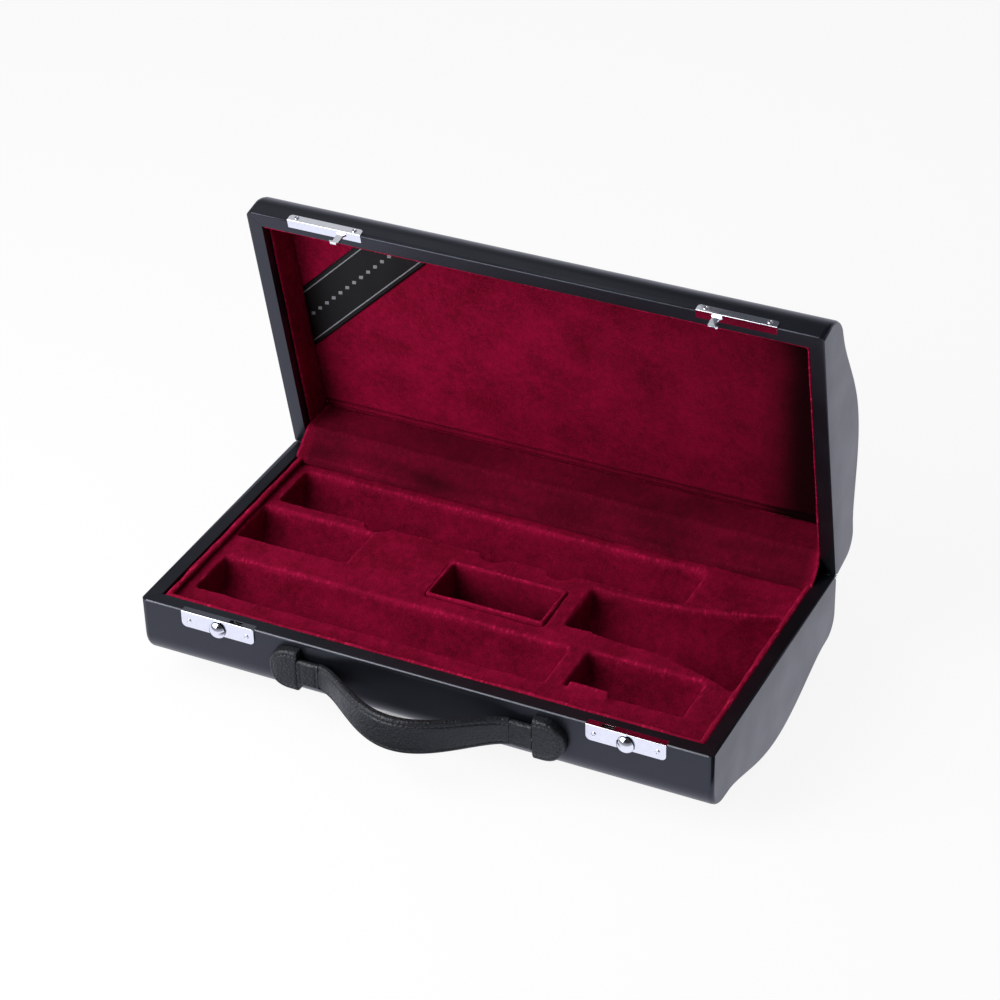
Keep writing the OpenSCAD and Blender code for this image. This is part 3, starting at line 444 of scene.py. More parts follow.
brushed = add_node(velvet, "MapRange", {0: brushed, 1: 0.38, 2: 0.62, 3: 0.0, 4: 1.0})
# Painted highlight on convex crests and painted shade in hollow creases, both from the mesh's
# pointiness.
bend = add_node(velvet, "NewGeometry").outputs["Pointiness"]
crest_highlight = add_node(velvet, "MapRange", {0: bend, 1: 0.5, 2: 0.56, 3: 0.1, 4: 0.9})
crest_highlight = add_node(velvet, "Math", {0: crest_highlight, 1: streak}, operation="MULTIPLY")
crease = add_node(velvet, "MapRange", {0: bend, 1: 0.49, 2: 0.43, 3: 0.0, 4: 0.7})
# Painted shade, partly pile that lies over, from the pieces' attribute; past 0.7 it darkens
# further and the sheen fades.
laid_and_shade = add_node(velvet, "Attribute", attribute_name="painted_shade_and_laid_pile").outputs["Fac"]
deepest_shade = add_node(velvet, "MapRange", {0: laid_and_shade, 1: 0.7, 2: 1.2, 3: 0.0, 4: 1.0})
# Painted highlight along the top of the roll, from its attribute.
roll_highlight = add_node(velvet, "Attribute", attribute_name="painted_roll_highlight").outputs["Fac"]
roll_highlight = add_node(velvet, "Math", {0: roll_highlight, 1: streak}, operation="MULTIPLY")
tone = "#500416"
for share, colour in (
    (brushed, "#82082d"), (crest_highlight, "#bc1c4c"), (crease, "#1c0307"),
    (laid_and_shade, "#28030b"), (roll_highlight, "#b41e44"), (deepest_shade, "#0c0103"),
):
    tone = add_node(velvet, "Mix", {0: share, 6: tone, 7: colour}, data_type="RGBA").outputs[2]
sheen = add_node(velvet, "MapRange", {0: laid_and_shade, 1: 0.7, 2: 1.2, 3: 0.2, 4: 0.02})
relief = add_node(velvet, "Bump", {"Height": pile, "Strength": 0.7, "Distance": 0.0005})
surface = add_node(velvet, "BsdfPrincipled", {
    "Base Color": tone, "Roughness": 0.95, "Specular IOR Level": 0.04, "Sheen Weight": sheen,
    "Sheen Roughness": 0.45, "Sheen Tint": "#c80a3f", "Normal": relief,
})
add_node(velvet, "OutputMaterial", {"Surface": surface})


def evened(made, grid, passes):
    """A closed bmesh remade in even faces with its edges eased, as glued cloth eases them."""
    mesh = bpy.data.meshes.new("form")
    made.to_mesh(mesh)
    made.free()
    form = bpy.data.objects.new("form", mesh)
    scene.collection.objects.link(form)
    even = form.modifiers.new("even_faces", "REMESH")
    even.mode = "VOXEL"
    even.voxel_size = grid
    bpy.context.view_layer.update()
    graph = bpy.context.evaluated_depsgraph_get()
    remade = bpy.data.meshes.new_from_object(form.evaluated_get(graph))
    made = bmesh.new()
    made.from_mesh(remade)
    bpy.data.objects.remove(form)
    bpy.data.meshes.remove(mesh)
    bpy.data.meshes.remove(remade)
    for _ in range(passes):
        bmesh.ops.smooth_vert(
            made, verts=made.verts, factor=0.5, use_axis_x=True, use_axis_y=True, use_axis_z=True,
        )
    return made


def ripple(made, depth, length, shift=0.0):
    """Moves a bmesh's points along their normals by smooth noise of this depth and length."""
    made.normal_update()
    for vert in made.verts:
        vert.co += vert.normal * depth * noise.noise(vert.co / length + Vector((shift, 0.0, 0.0)))


made = evened(merged_copy("insert_block"), velvet_grid, lip_passes)
ripple(made, depth=0.0009, length=0.022)
ripple(made, depth=0.0003, length=0.006, shift=3.0)
piece("velvet_insert", made, velvet, "velvet", "base", "insert_block", crisp=False)
made = evened(merged_copy("insert_piping"), roll_grid, roll_passes)
ripple(made, depth=0.0007, length=0.014, shift=5.0)
roll = piece("velvet_roll", made, velvet, "velvet", "base", "insert_piping", crisp=False)

# Painted highlight along the roll's top and painted shade on its flanks, kept as attributes.
roll_top = max(vert.co.z for vert in roll.data.vertices)
painted_roll_highlight = roll.data.attributes.new("painted_roll_highlight", "FLOAT", "POINT")
shade_and_laid = roll.data.attributes.new("painted_shade_and_laid_pile", "FLOAT", "POINT")
for vert in roll.data.vertices:
    down = (roll_top - vert.co.z) / roll_step
    painted_roll_highlight.data[vert.index].value = 0.9 * min(max(1.6 - down, 0.0), 1.0)
    shade_and_laid.data[vert.index].value = 0.8 * min(max((down - 1.8) / 1.2, 0.0), 1.0)

made = evened(merged_copy("accessory_box"), box_grid, box_passes)
ripple(made, depth=0.0006, length=0.015, shift=7.0)
piece("velvet_box", made, velvet, "velvet", "base", "accessory_box", crisp=False)

# Lid lining. A foam block fills the hump, a velvet-covered panel lies on it, low-crowned and
# creased along the hinge, and velvet covers the four walls up to the rim.
panel_middle_y = -0.0016
panel_half_x, panel_half_y = 0.1705, 0.0829
wall_half_x, wall_half_y = 0.1692, 0.0816
panel_level, panel_back, panel_tuck = 0.0250, 0.0272, 0.0002
panel_roll, panel_valley = 0.0026, 0.0016
panel_crown, panel_wave, panel_ripple = 0.0007, 0.00025, 0.00012
creases = ((0.0738, 0.0011, 0.0011), (0.0774, 0.0008, 0.0009))
crease_wave, crease_shade_width = 0.0008, 0.0016
panel_grid = 0.0013
# Where the painted shadow of the lid's right wall starts on the panel, how soon it is full, and
# how much its edge wanders.
wall_shadow_from, wall_shadow_full, wall_shadow_wave = 0.872, 0.08, 0.016
lining_grid, lining_passes = 0.0008, 3
lining_foot, lining_longer = 0.0235, 0.0036
foam_edge = 0.001

# Polyether foam, matt, with open cells 1.5 mm wide, coloured near-black as painted shade, so that
# where it shows between the panel and the walls it reads as a shadowed crease.
shade_coloured_foam = blank_finish("polyether_foam")
place = add_node(shade_coloured_foam, "TexCoord").outputs["Object"]
cells = add_node(shade_coloured_foam, "TexVoronoi", {"Vector": place, "Scale": 1000 / 1.5})
tone = add_node(shade_coloured_foam, "Mix", {0: cells, 6: "#120a0c", 7: "#241518"}, data_type="RGBA")
relief = add_node(shade_coloured_foam, "Bump", {"Height": cells, "Strength": 0.5, "Distance": 0.0005})
surface = add_node(shade_coloured_foam, "BsdfPrincipled", {
    "Base Color": tone.outputs[2], "Roughness": 0.95, "Normal": relief,
})
add_node(shade_coloured_foam, "OutputMaterial", {"Surface": surface})
made = merged_copy("lid_foam")
ease_corner(made)
round_edges(made, foam_edge)
foam = piece("lid_foam_block", made, shade_coloured_foam, "foam", "lid", "lid_foam")


def panel_height(x, y):
    """Height of the panel's face above the lid's rim, less where it stands proud."""
    height = panel_level
    for place_on, half in ((x, wall_half_x), (y - panel_middle_y, wall_half_y)):
        edge = min(max(1 - (half - abs(place_on)) / panel_roll, 0.0), 1.0)
        height += panel_valley * (1 - math.sqrt(1 - edge * edge))
    u, v = x / panel_half_x, (y - panel_middle_y) / panel_half_y
    height -= panel_crown * (1 - u ** 4) * (1 - v ** 4)
    for crease_y, width, depth in creases:
        away = y - crease_y - crease_wave * noise.noise(Vector((x / 0.03, crease_y / 0.01, 0.0)))
        height += depth * math.exp(-((away / width) ** 2))
    spot = Vector((x, y, 0.0))
    height += panel_wave * noise.noise(spot / 0.04) + panel_ripple * noise.noise(spot / 0.012)
    return min(height, panel_back)


made = bmesh.new()
columns, rows = (round(2 * half / panel_grid) for half in (panel_half_x, panel_half_y))
bmesh.ops.create_grid(made, x_segments=columns, y_segments=rows, size=1.0)
rim = [edge for edge in made.edges if edge.is_boundary]
for vert in made.verts:
    x, y = vert.co.x * panel_half_x, vert.co.y * panel_half_y + panel_middle_y
    vert.co = (x, y, panel_height(x, y))
skirt = bmesh.ops.extrude_edge_only(made, edges=rim)["geom"]
for vert in (part for part in skirt if isinstance(part, bmesh.types.BMVert)):
    vert.co.z = panel_back + panel_tuck
rim = [part for part in skirt if isinstance(part, bmesh.types.BMEdge)]
bmesh.ops.holes_fill(made, edges=rim, sides=0)
bmesh.ops.transform(made, matrix=lid_frame, verts=made.verts)
ease_corner(made)
panel = piece("velvet_panel", made, velvet, "velvet", "lid", "lid_panel", crisp=False)

# Painted shade: darker more and more to the right as the light falls off, in the creases, and in a
# band at the right end where the lid's right wall casts its shadow.
shade_and_laid = panel.data.attributes.new("painted_shade_and_laid_pile", "FLOAT", "POINT")
for vert in panel.data.vertices:
    along = (vert.co.x + panel_half_x) / (2 * panel_half_x)
    falloff_shade = 0.36 * min(max((along - 0.3) / 0.6, 0.0), 1.0) ** 1.3
    wave = wall_shadow_wave * noise.noise(Vector((vert.co.z / 0.03, 0.0, 8.0)))
    wave += wall_shadow_wave * (0.15 - vert.co.z) / 0.09
    fold_y = (into_lid @ vert.co).y
    fold = max(math.exp(-(((fold_y - crease_y) / crease_shade_width) ** 2)) for crease_y, _, _ in creases)
    wall_shadow_band = min(max((along + wave - wall_shadow_from) / wall_shadow_full, 0.0), 1.0)
    shade_and_laid.data[vert.index].value = falloff_shade + 0.5 * fold + 0.74 * wall_shadow_band

# The walls' lining reaches a little further down than the frame's, behind the panel's edge.
made = evened(merged_copy("lid_wall_lining"), lining_grid, lining_passes)
for vert in made.verts:
    here = into_lid @ vert.co
    here.z += lining_longer if here.z > lining_foot else 0.0
    vert.co = lid_frame @ here
ease_corner(made)
ripple(made, depth=0.0003, length=0.02, shift=11.0)
piece("velvet_walls", made, velvet, "velvet", "lid", "lid_wall_lining", crisp=False)

# Apron. A velvet strip glued under the insert's roll and over the lid's wall, which hides the
# two hinges and bows a little between them. Its ends are left free and curl up.
apron_line = [
    (0.0766, -0.0044), (0.0770, -0.0026), (0.0782, -0.0006), (0.0798, 0.0005), (0.0820, 0.0020),
    (0.0850, 0.0046), (0.0885, 0.0083), (0.0916, 0.0122), (0.0950, 0.0129), (0.1000, 0.0140),
    (0.1060, 0.0152), (0.1115, 0.0163), (0.1126, 0.0163),
]
apron_foot, apron_top = 0.1712, 0.1665
apron_thick = 0.0008
apron_curl, apron_curl_reach = 0.0016, 0.005
apron_wave, apron_ripple = 0.0005, 0.0002
apron_columns, apron_rows = 240, 44


def apron_at(share):
    """Place on the apron's line, as a smooth curve through its points."""
    at = share * (len(apron_line) - 1)
    i = min(int(at), len(apron_line) - 2)
    t = at - i
    near = (min(max(i + k, 0), len(apron_line) - 1) for k in (-1, 0, 1, 2))
    a, b, c, d = (Vector(apron_line[k]) for k in near)
    bend, twist = 2 * a - 5 * b + 4 * c - d, 3 * b - a - 3 * c + d
    return 0.5 * (2 * b + (c - a) * t + bend * t ** 2 + twist * t ** 3)


def thicken(shape, thickness):
    """Gives a sheet its thickness, half of it on each side."""
    wall = shape.modifiers.new("thickness", "SOLIDIFY")
    wall.thickness = thickness
    wall.offset = 0.0


made = bmesh.new()
bmesh.ops.create_grid(made, x_segments=apron_columns, y_segments=apron_rows, size=1.0)
for vert in made.verts:
    share = (vert.co.y + 1) / 2
    end = apron_foot + (apron_top - apron_foot) * max((share - 0.45) / 0.55, 0.0)
    x = end * vert.co.x
    here = apron_at(share)
    run = (apron_at(min(share + 0.01, 1.0)) - apron_at(max(share - 0.01, 0.0))).normalized()
    out = Vector((-run.y, run.x))
    free = end - abs(x)
    lift = apron_curl * max(1 - free / apron_curl_reach, 0.0) ** 2
    wave = noise.noise(Vector((x / 0.05, share * 5, 2.0)))
    lift += apron_wave * wave + apron_ripple * noise.noise(Vector((x / 0.012, share * 9, 4.0)))
    here = here + out * (lift + apron_thick / 2) * min(share * 6, 1.0)
    vert.co = case_shift + Vector((x, here.x, here.y))
apron = piece("velvet_apron", made, velvet, "velvet", None, "hinge_apron", crisp=False)

# Painted shade of the hinge recess, partly pile that lies over, darker in patches, with none at
# the two free ends.
shade_and_laid = apron.data.attributes.new("painted_shade_and_laid_pile", "FLOAT", "POINT")
for vert in apron.data.vertices:
    free = apron_foot - abs(vert.co.x)
    patch = 0.58 + 0.3 * noise.noise(Vector((vert.co.x / 0.05, vert.co.z / 0.006, 9.0)))
    shade_and_laid.data[vert.index].value = patch * min(max((free - 0.002) / 0.006, 0.0), 1.0)
thicken(apron, apron_thick)
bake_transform(apron)

# Ribbon. A black woven ribbon stretched across the panel's front left corner, its ends tucked
# in between the panel and the walls, to hold papers. It carries a plain row of lozenges.
ribbon_corner = Vector((-0.1692, -0.0832))
ribbon_near, ribbon_width = 0.04596, 0.034
ribbon_proud, ribbon_thick = 0.0003, 0.0004
ribbon_columns, ribbon_rows = 110, 26
edge_line, edge_line_width = 3.2, 0.35
lozenge_pitch, lozenge_long, lozenge_high = 8.0, 2.2, 1.5

# Woven rayon satin: black with a silky gloss and fine ribs 0.7 mm apart across it. Two thin
# lines and the lozenges are woven in silver-grey, from the piece's own map in millimetres.
ribbon_satin = blank_finish("woven_rayon_satin")
map_mm = add_node(ribbon_satin, "UVMap", uv_map="ribbon_mm")
along, across, _ = add_node(ribbon_satin, "SeparateXYZ", {0: map_mm}).outputs
middle, to_lines = 500 * ribbon_width, 500 * ribbon_width - edge_line
across = add_node(ribbon_satin, "Math", {0: across, 1: middle}, operation="SUBTRACT")
across = add_node(ribbon_satin, "Math", {0: across}, operation="ABSOLUTE")
on_line = add_node(ribbon_satin, "Math", {0: across, 1: to_lines}, operation="SUBTRACT")
on_line = add_node(ribbon_satin, "Math", {0: on_line}, operation="ABSOLUTE")
on_line = add_node(ribbon_satin, "Math", {0: on_line, 1: edge_line_width}, operation="LESS_THAN")
step_along = add_node(ribbon_satin, "Math", {0: along, 1: lozenge_pitch / 2}, operation="PINGPONG")
step_along = add_node(ribbon_satin, "Math", {0: step_along, 1: lozenge_long}, operation="DIVIDE")
step_up = add_node(ribbon_satin, "Math", {0: across, 1: lozenge_high}, operation="DIVIDE")
in_lozenge = add_node(ribbon_satin, "Math", {0: step_along, 1: step_up}, operation="ADD")
in_lozenge = add_node(ribbon_satin, "Math", {0: in_lozenge, 1: 1.0}, operation="LESS_THAN")
woven = add_node(ribbon_satin, "Math", {0: on_line, 1: in_lozenge}, operation="MAXIMUM")
tone = add_node(ribbon_satin, "Mix", {0: woven, 6: "#070708", 7: "#7c7d82"}, data_type="RGBA")
ribs = add_node(ribbon_satin, "Math", {0: along, 1: 0.35}, operation="PINGPONG")
relief = add_node(ribbon_satin, "Bump", {"Height": ribs, "Strength": 0.35, "Distance": 0.0002})
surface = add_node(ribbon_satin, "BsdfPrincipled", {
    "Base Color": tone.outputs[2], "Roughness": 0.5, "Specular IOR Level": 0.25,
    "Normal": relief,
})
add_node(ribbon_satin, "OutputMaterial", {"Surface": surface})

made = bmesh.new()
bmesh.ops.create_grid(
    made, x_segments=ribbon_columns, y_segments=ribbon_rows, size=1.0, calc_uvs=True,
)
map_layer = made.loops.layers.uv.verify()
for vert in made.verts:
    v = (vert.co.y + 1) / 2 * ribbon_width
    far = ribbon_near + v
    s = vert.co.x * far
    x = ribbon_corner.x + (far + s) / math.sqrt(2)
    y = ribbon_corner.y + (far - s) / math.sqrt(2)
    height = panel_height(x, y) - ribbon_proud
    for loop in vert.link_loops:
        loop[map_layer].uv = (1000 * s, 1000 * v)
    vert.co = (x, y, height)
bmesh.ops.transform(made, matrix=lid_frame, verts=made.verts)
ease_corner(made)
ribbon = piece(
    "satin_ribbon", made, ribbon_satin, "satin_ribbon", "lid", "corner_ribbon", crisp=False,
)
ribbon.data.uv_layers[0].name = "ribbon_mm"
thicken(ribbon, ribbon_thick)

# Latches. Plates folded from sheet over the front wall and the rims, each held by two dimpled
# rivets, with a hook on the lid's and a domed thumb disc on the slide of the base's.
plate_fold, plate_fold_reach = 0.0004, 0.0003
plate_edge = 0.00013

# Chromed steel: a bright, cold mirror with faint wiping marks 3 mm long.
chrome = blank_finish("chromed_steel")
place = add_node(chrome, "TexCoord").outputs["Object"]
wipe = add_node(chrome, "TexNoise", {"Vector": place, "Scale": 1000 / 3, "Detail": 4.0})
tone = add_node(chrome, "Mix", {0: wipe, 6: "#e2e5ee", 7: "#f2f4fb"}, data_type="RGBA")
gloss = add_node(chrome, "MapRange", {0: wipe, 1: 0.3, 2: 0.7, 3: 0.04, 4: 0.09})
surface = add_node(chrome, "BsdfPrincipled", {
    "Base Color": tone.outputs[2], "Metallic": 1.0, "Roughness": gloss,
})
add_node(chrome, "OutputMaterial", {"Surface": surface})

plate_corner = Vector((0.0, -0.0948, 0.0))
plate_folds = (case_shift + plate_corner, lid_frame @ plate_corner)


def on_fold(edge):
    """Picks the outer edge that runs along a plate's fold."""
    a, b = (vert.co for vert in edge.verts)
    along = abs((a - b).normalized().x) > 0.99
    middle = (a + b) / 2
    away = min(math.hypot(middle.y - line.y, middle.z - line.z) for line in plate_folds)
    return along and away < plate_fold_reach


for node, body in (
    ("base_latch_plate_left", "base"), ("base_latch_plate_right", "base"),
    ("lid_latch_plate_left", "lid"), ("lid_latch_plate_right", "lid"),
    ("lid_hook_left", "lid"), ("lid_hook_right", "lid"),
    ("base_latch_rivets", "base"), ("lid_latch_rivets", "lid"),
    ("thumb_disc_left", "latch_left"), ("thumb_disc_right", "latch_right"),
):
    made = merged_copy(node)
    if "plate" in node:
        round_edges(made, plate_fold, segments=5, at=on_fold)
    round_edges(made, plate_edge, segments=2)
    piece(node + "_chromed", made, chrome, "chrome", body, node)
dress(
    plated_steel,
    "latch_housing_left", "latch_housing_right", "latch_slide_left", "latch_slide_right",
)

# Springs of the latches, copied from the CAD coils; they stay as they stand and don't follow the
# slide.
spring_far, spring_near = 0.14482, 0.13858
for side, out in (("left", -1), ("right", 1)):
    node = "latch_spring_" + side
    made = merged_copy(node)
    spring = piece(node + "_coil", made, plated_steel, "steel", None, node, crisp=False)
    far, near = ((out * x, 0.0, 0.0) for x in (spring_far, spring_near))
    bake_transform(spring)

# Hinges. Steel butt hinges let into the rims under the apron. A strip of the leathercloth is
# glued into the joint between the rims from behind, bent at the joint as the case stands open.
dress(
    plated_steel,
    "hinge_base_leaves", "hinge_lid_leaves", "hinge_pins", "hinge_base_screws", "hinge_lid_screws",
)
tape_fold = Vector((0.0, 0.0909, 0.0001))
tape_base, tape_lid = Vector((0.0, 0.0932, -0.0025)), Vector((0.0, 0.0944, -0.00175))
tape_out = Vector((0.0, 0.624, 0.781))
tape_thick, tape_grid, tape_turn = 0.00015, 0.004, 0.00005
tape_spans = ((-0.1799, -0.1330), (-0.0910, 0.0910), (0.1330, 0.1799))
fold = case_shift + tape_fold
for number, (x0, x1) in enumerate(tape_spans, 1):
    made = bmesh.new()
    bmesh.ops.create_grid(made, x_segments=round((x1 - x0) / tape_grid), y_segments=10, size=1.0)
    for vert in made.verts:
        x = x0 + (x1 - x0) * (vert.co.x + 1) / 2
        end = tape_base if vert.co.y < 0 else tape_lid
        vert.co = fold + (end - tape_fold) * abs(vert.co.y) + Vector((x, 0.0, 0.0))
    tape = piece(f"hinge_tape_{number}", made, leathercloth, "leathercloth", None, crisp=False)
    thicken(tape, tape_thick)
    start, end = (tuple(fold + tape_out * turn) for turn in (-tape_turn, tape_turn))
    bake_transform(tape)

# Handle. A bowed grip of leather folded round a core and stitched along both edges, between
# two straps and two padded D-shaped pads. Steel trunnions run through it into the anchors.
axis_y, axis_z = -0.093959, 0.0421
grip_half, grip_bow, grip_power = 0.060, 0.0285, 1.7
grip_heights, grip_thicks, grip_round = (0.018, 0.023), (0.0046, 0.0065), 0.6
grip_seam, grip_seam_depth, grip_seam_width = 0.0028, 0.0006, 0.0005
grip_columns, grip_rows = 160, 112
stitch_pitch, stitch_half, stitch_radius = 0.0031, 0.0011, 0.00032
pad_middle_x, pad_side_x, pad_radius = 0.080, 0.074, 0.0135
pad_thick, pad_thin = 0.0067, 0.0044
pad_low_from, pad_low_over, pad_fall = 0.0875, 0.006, 0.001
pad_roll, pad_side_free, pad_side_inset = 0.0016, 0.0004, 0.0055
pad_seam, pad_seam_depth, pad_seam_width = 0.0030, 0.0005, 0.0005
wall_y = -0.089809
pad_stitch_pitch, pad_stitch_share = 0.0026, 0.85
pad_stitch_from, pad_stitch_sunk = 0.001, 0.7
pad_grid, pad_passes = 0.0005, 2
pad_rounds, pad_sides = 48, 16
pad_insets = (0.0, 0.0, 0.0002, 0.0005, 0.0009, 0.0016, 0.003, 0.005, 0.0075, 0.010, 0.0125)
strap_inner, strap_outer = 0.0602, 0.0739
strap_high, strap_thick = 0.0170, 0.0046
strap_creases, strap_crease_width, strap_pinch = (0.0618, 0.0716), 0.0006, 0.14
strap_steps, strap_round = 28, 40

# Dyed cowhide, grained: a soft black with a pebble 1.3 mm wide and worn, paler high spots.
handle_leather = blank_finish("grained_cowhide")
place = add_node(handle_leather, "TexCoord").outputs["Object"]
pebble = add_node(handle_leather, "TexVoronoi", {
    "Vector": place, "Scale": 1000 / 1.3,
}, feature="SMOOTH_F1")
cloud = add_node(handle_leather, "TexNoise", {"Vector": place, "Scale": 1000 / 9, "Detail": 5.0})
high_spot = add_node(handle_leather, "MapRange", {0: pebble, 1: 0.1, 2: 0.6, 3: 0.55, 4: 0.0})
tone = "#070708"
for share, colour in ((cloud, "#141517"), (high_spot, "#24262a")):
    tone = add_node(handle_leather, "Mix", {
        0: share, 6: tone, 7: colour,
    }, data_type="RGBA").outputs[2]
gloss = add_node(handle_leather, "MapRange", {0: cloud, 1: 0.3, 2: 0.7, 3: 0.4, 4: 0.52})
relief = add_node(handle_leather, "Bump", {"Height": pebble, "Strength": 1.0, "Distance": 0.0004})
surface = add_node(handle_leather, "BsdfPrincipled", {
    "Base Color": tone, "Roughness": gloss, "IOR": 1.5, "Specular Tint": "#f3f7ff",
    "Normal": relief,
})
add_node(handle_leather, "OutputMaterial", {"Surface": surface})

# Waxed linen thread: dark grey with a twist 0.6 mm long.
waxed_thread = blank_finish("waxed_linen_thread")
place = add_node(waxed_thread, "TexCoord").outputs["Object"]
twist = add_node(waxed_thread, "TexNoise", {"Vector": place, "Scale": 1000 / 0.6, "Detail": 2.0})
tone = add_node(waxed_thread, "Mix", {0: twist, 6: "#202125", 7: "#4b4c52"}, data_type="RGBA")
relief = add_node(waxed_thread, "Bump", {"Height": twist, "Strength": 0.4, "Distance": 0.0001})
surface = add_node(waxed_thread, "BsdfPrincipled", {
    "Base Color": tone.outputs[2], "Roughness": 0.6, "Normal": relief,
})
add_node(waxed_thread, "OutputMaterial", {"Surface": surface})


def add_stitch(made, place, along, out, half, radius):
    """Adds one stitch, a slim round grain of thread that is half sunk in the leather."""
    side = along.cross(out).normalized()
    axes = Matrix((along.normalized() * half, side * radius, out.normalized() * radius))
    on_its_side = Matrix.Rotation(math.pi / 2, 4, "Y")
    bmesh.ops.create_uvsphere(
        made, u_segments=6, v_segments=5, radius=1.0,
        matrix=Matrix.Translation(place) @ axes.transposed().to_4x4() @ on_its_side,
    )


def arch(u):
    """Share of the grip's bow and swell at a place from -1 to 1 along it."""
    return max(1 - u * u, 0.0) ** grip_power


def grip_point(u, angle):
    """A point on the grip's skin, and the way it faces."""
    step = 0.001
    before, after = max(u - step, -1.0), min(u + step, 1.0)
    run = Vector(((after - before) * grip_half, -(arch(after) - arch(before)) * grip_bow))
    run.normalize()
    out = Vector((run.y, -run.x, 0.0))
    swell = arch(u)
    high = grip_heights[0] + (grip_heights[1] - grip_heights[0]) * swell
    thick = grip_thicks[0] + (grip_thicks[1] - grip_thicks[0]) * swell
    c, s = math.cos(angle), math.sin(angle)
    level = math.copysign(abs(s) ** grip_round, s) * high / 2
    depth = math.copysign(abs(c) ** grip_round, c) * thick / 2
    to_seam = (abs(level) - (high / 2 - grip_seam)) / grip_seam_width
    groove = grip_seam_depth * math.exp(-to_seam * to_seam)
    depth -= math.copysign(groove, c) * min(abs(c) * 4, 1.0)
    return Vector((u * grip_half, axis_y - grip_bow * swell, axis_z + level)) + out * depth, out


def close_tube(made):
    """Merges the long seam of a grid that was bent into a tube, and fills the tube's ends."""
    bmesh.ops.remove_doubles(made, verts=made.verts, dist=1e-6)
    ends = [edge for edge in made.edges if edge.is_boundary]
    bmesh.ops.holes_fill(made, edges=ends, sides=0)


made = bmesh.new()
bmesh.ops.create_grid(made, x_segments=grip_columns, y_segments=grip_rows, size=1.0)
for vert in made.verts:
    vert.co = grip_point(vert.co.x, math.pi * vert.co.y)[0]
close_tube(made)
grip = piece(
    "leather_grip", made, handle_leather, "handle_leather", "handle", "handle_grip", crisp=False,
)

made = bmesh.new()
steps = round(2 * grip_half / stitch_pitch)
for i in range(1, steps):
    u = -1 + 2 * i / steps
    high = grip_heights[0] + (grip_heights[1] - grip_heights[0]) * arch(u)
    seam_angle = math.asin(((high / 2 - grip_seam) / (high / 2)) ** (1 / grip_round))
    for angle in (seam_angle, -seam_angle, math.pi - seam_angle, seam_angle - math.pi):
        place, out = grip_point(u, angle)
        ahead = grip_point(min(u + 0.005, 1.0), angle)[0]
        facing = out if abs(angle) < math.pi / 2 else -out
        add_stitch(made, place, ahead - place, facing, stitch_half, stitch_radius)
piece("grip_stitches", made, waxed_thread, "handle_leather", "handle", crisp=False)


def from_pad_edge(x, z):
    """Distance of a spot of a pad from its round edge and its two long ones."""
    return pad_radius - (math.hypot(x - pad_middle_x, z) if x > pad_middle_x else abs(z))


def pad_depth(x, z):
    """Depth of a pad over the wall: rolled down at its edge and low towards its round end."""
    from_edge = min(from_pad_edge(x, z), x - pad_side_x + pad_side_free)
    to_end = max((x - pad_low_from) / pad_low_over, 0.0)
    depth = pad_thick - (pad_thick - pad_thin) * to_end ** 1.5
    depth -= pad_fall * (z / pad_radius) ** 4
    roll = max(1 - from_edge / pad_roll, 0.0)
    return depth - pad_roll * (1 - math.sqrt(max(1 - roll * roll, 0.0)))


def pad_outline(inset, number):
    """A numbered place on a pad's outline, drawn in by an inset: round end, then long side."""
    reach = pad_radius - inset
    if number <= pad_rounds:
        turn = math.pi * (number / pad_rounds - 0.5)
        return pad_middle_x + reach * math.cos(turn), reach * math.sin(turn)
    along = 1 - 2 * (number - pad_rounds - 1) / pad_sides
    return pad_side_x + min(inset, pad_side_inset), reach * along


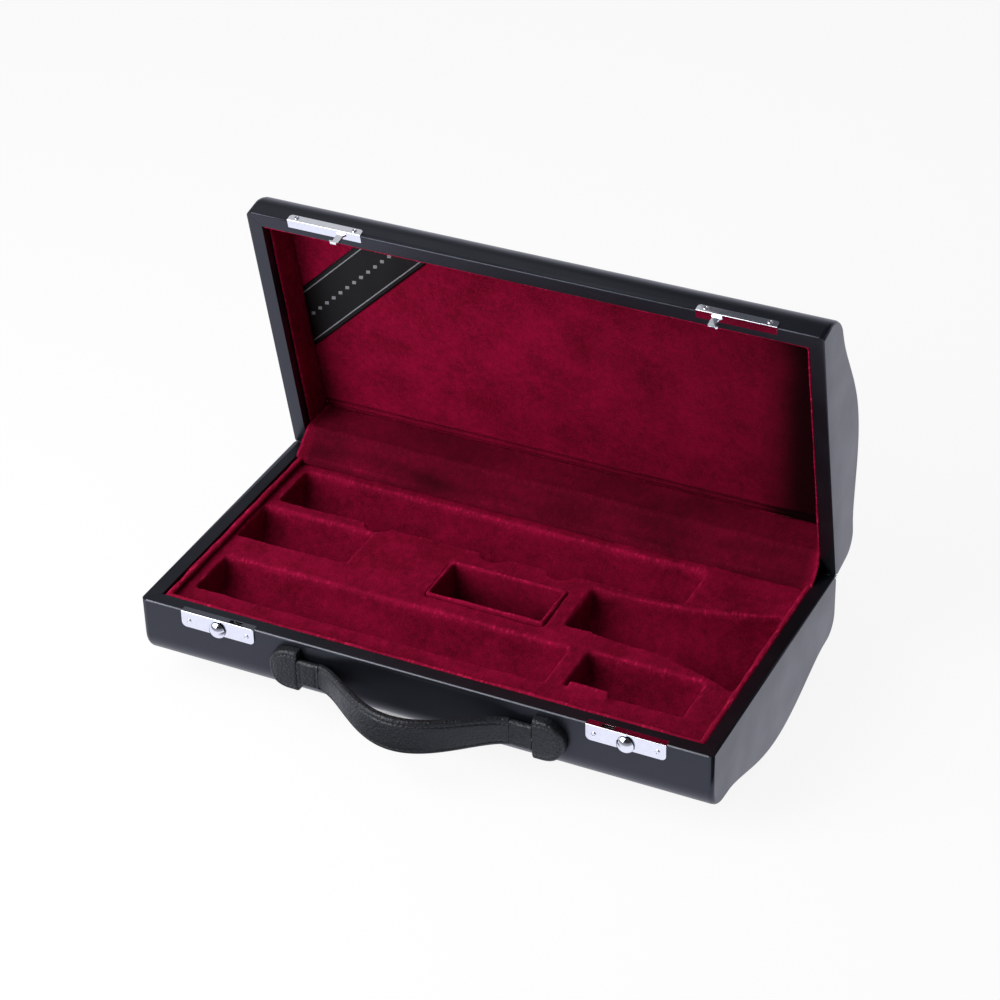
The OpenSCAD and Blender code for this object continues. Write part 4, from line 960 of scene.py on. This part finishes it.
pad_around, pad_rings = pad_rounds + pad_sides + 2, len(pad_insets) - 1
for side, node in ((-1, "handle_pad_left"), (1, "handle_pad_right")):
    made = bmesh.new()
    bmesh.ops.create_grid(made, x_segments=pad_around, y_segments=pad_rings, size=1.0)
    for vert in made.verts:
        number = round((vert.co.x + 1) / 2 * pad_around) % pad_around
        ring = round((vert.co.y + 1) / 2 * pad_rings)
        x, z = pad_outline(pad_insets[ring], number)
        vert.co = (side * x, wall_y - (pad_depth(x, z) if ring else 0.0), axis_z + z)
    close_tube(made)
    bmesh.ops.recalc_face_normals(made, faces=made.faces)
    made = evened(made, pad_grid, pad_passes)
    made.normal_update()
    for vert in made.verts:
        x, z = side * vert.co.x, vert.co.z - axis_z
        to_seam = (from_pad_edge(x, z) - pad_seam) / pad_seam_width
        if vert.normal.y < -0.5:
            vert.co.y += pad_seam_depth * math.exp(-(to_seam ** 2))
    name = node.replace("handle", "leather")
    pad = piece(name, made, handle_leather, "handle_leather", "base", node, crisp=False)

    made = bmesh.new()
    reach = pad_radius - pad_seam
    straight = pad_middle_x - pad_side_x - pad_stitch_from
    whole = 2 * straight + math.pi * reach
    count = round(whole / pad_stitch_pitch)
    for i in range(count):
        at = (i + 0.5) * whole / count
        turn = min(max((at - straight) / reach, 0.0), math.pi)
        level = reach * math.cos(turn)
        x = pad_middle_x + reach * math.sin(turn)
        x += min(at - straight, 0.0) - max(at - straight - math.pi * reach, 0.0)
        sunk = wall_y - pad_depth(x, level) + pad_seam_depth * pad_stitch_sunk
        place = Vector((side * x, sunk, axis_z + level))
        along = Vector((side * math.cos(turn), 0.0, -math.sin(turn)))
        facing = Vector((0.0, -1.0, 0.0))
        add_stitch(made, place, along, facing, stitch_half * pad_stitch_share, stitch_radius)
    name = node.replace("handle", "stitches")
    piece(name, made, waxed_thread, "handle_leather", "base", crisp=False)

made = bmesh.new()
for side in (-1, 1):
    tube = bmesh.ops.create_grid(made, x_segments=strap_steps, y_segments=strap_round, size=1.0)
    for vert in tube["verts"]:
        x = strap_inner + (strap_outer - strap_inner) * (vert.co.x + 1) / 2
        pinch = 1 - strap_pinch * sum(
            math.exp(-(((x - crease) / strap_crease_width) ** 2)) for crease in strap_creases
        )
        turn = math.pi * (vert.co.y + 1 / strap_round)
        level = math.copysign((strap_high - strap_thick) / 2, math.sin(turn))
        level += strap_thick / 2 * math.sin(turn)
        y = axis_y + strap_thick / 2 * pinch * math.cos(turn)
        vert.co = (side * x, y, axis_z + level)
close_tube(made)
straps = piece(
    "leather_straps", made, handle_leather, "handle_leather", "handle", "handle_straps",
    crisp=False,
)
dress(plated_steel, "handle_anchors", "handle_anchor_rivets", "handle_trunnions")
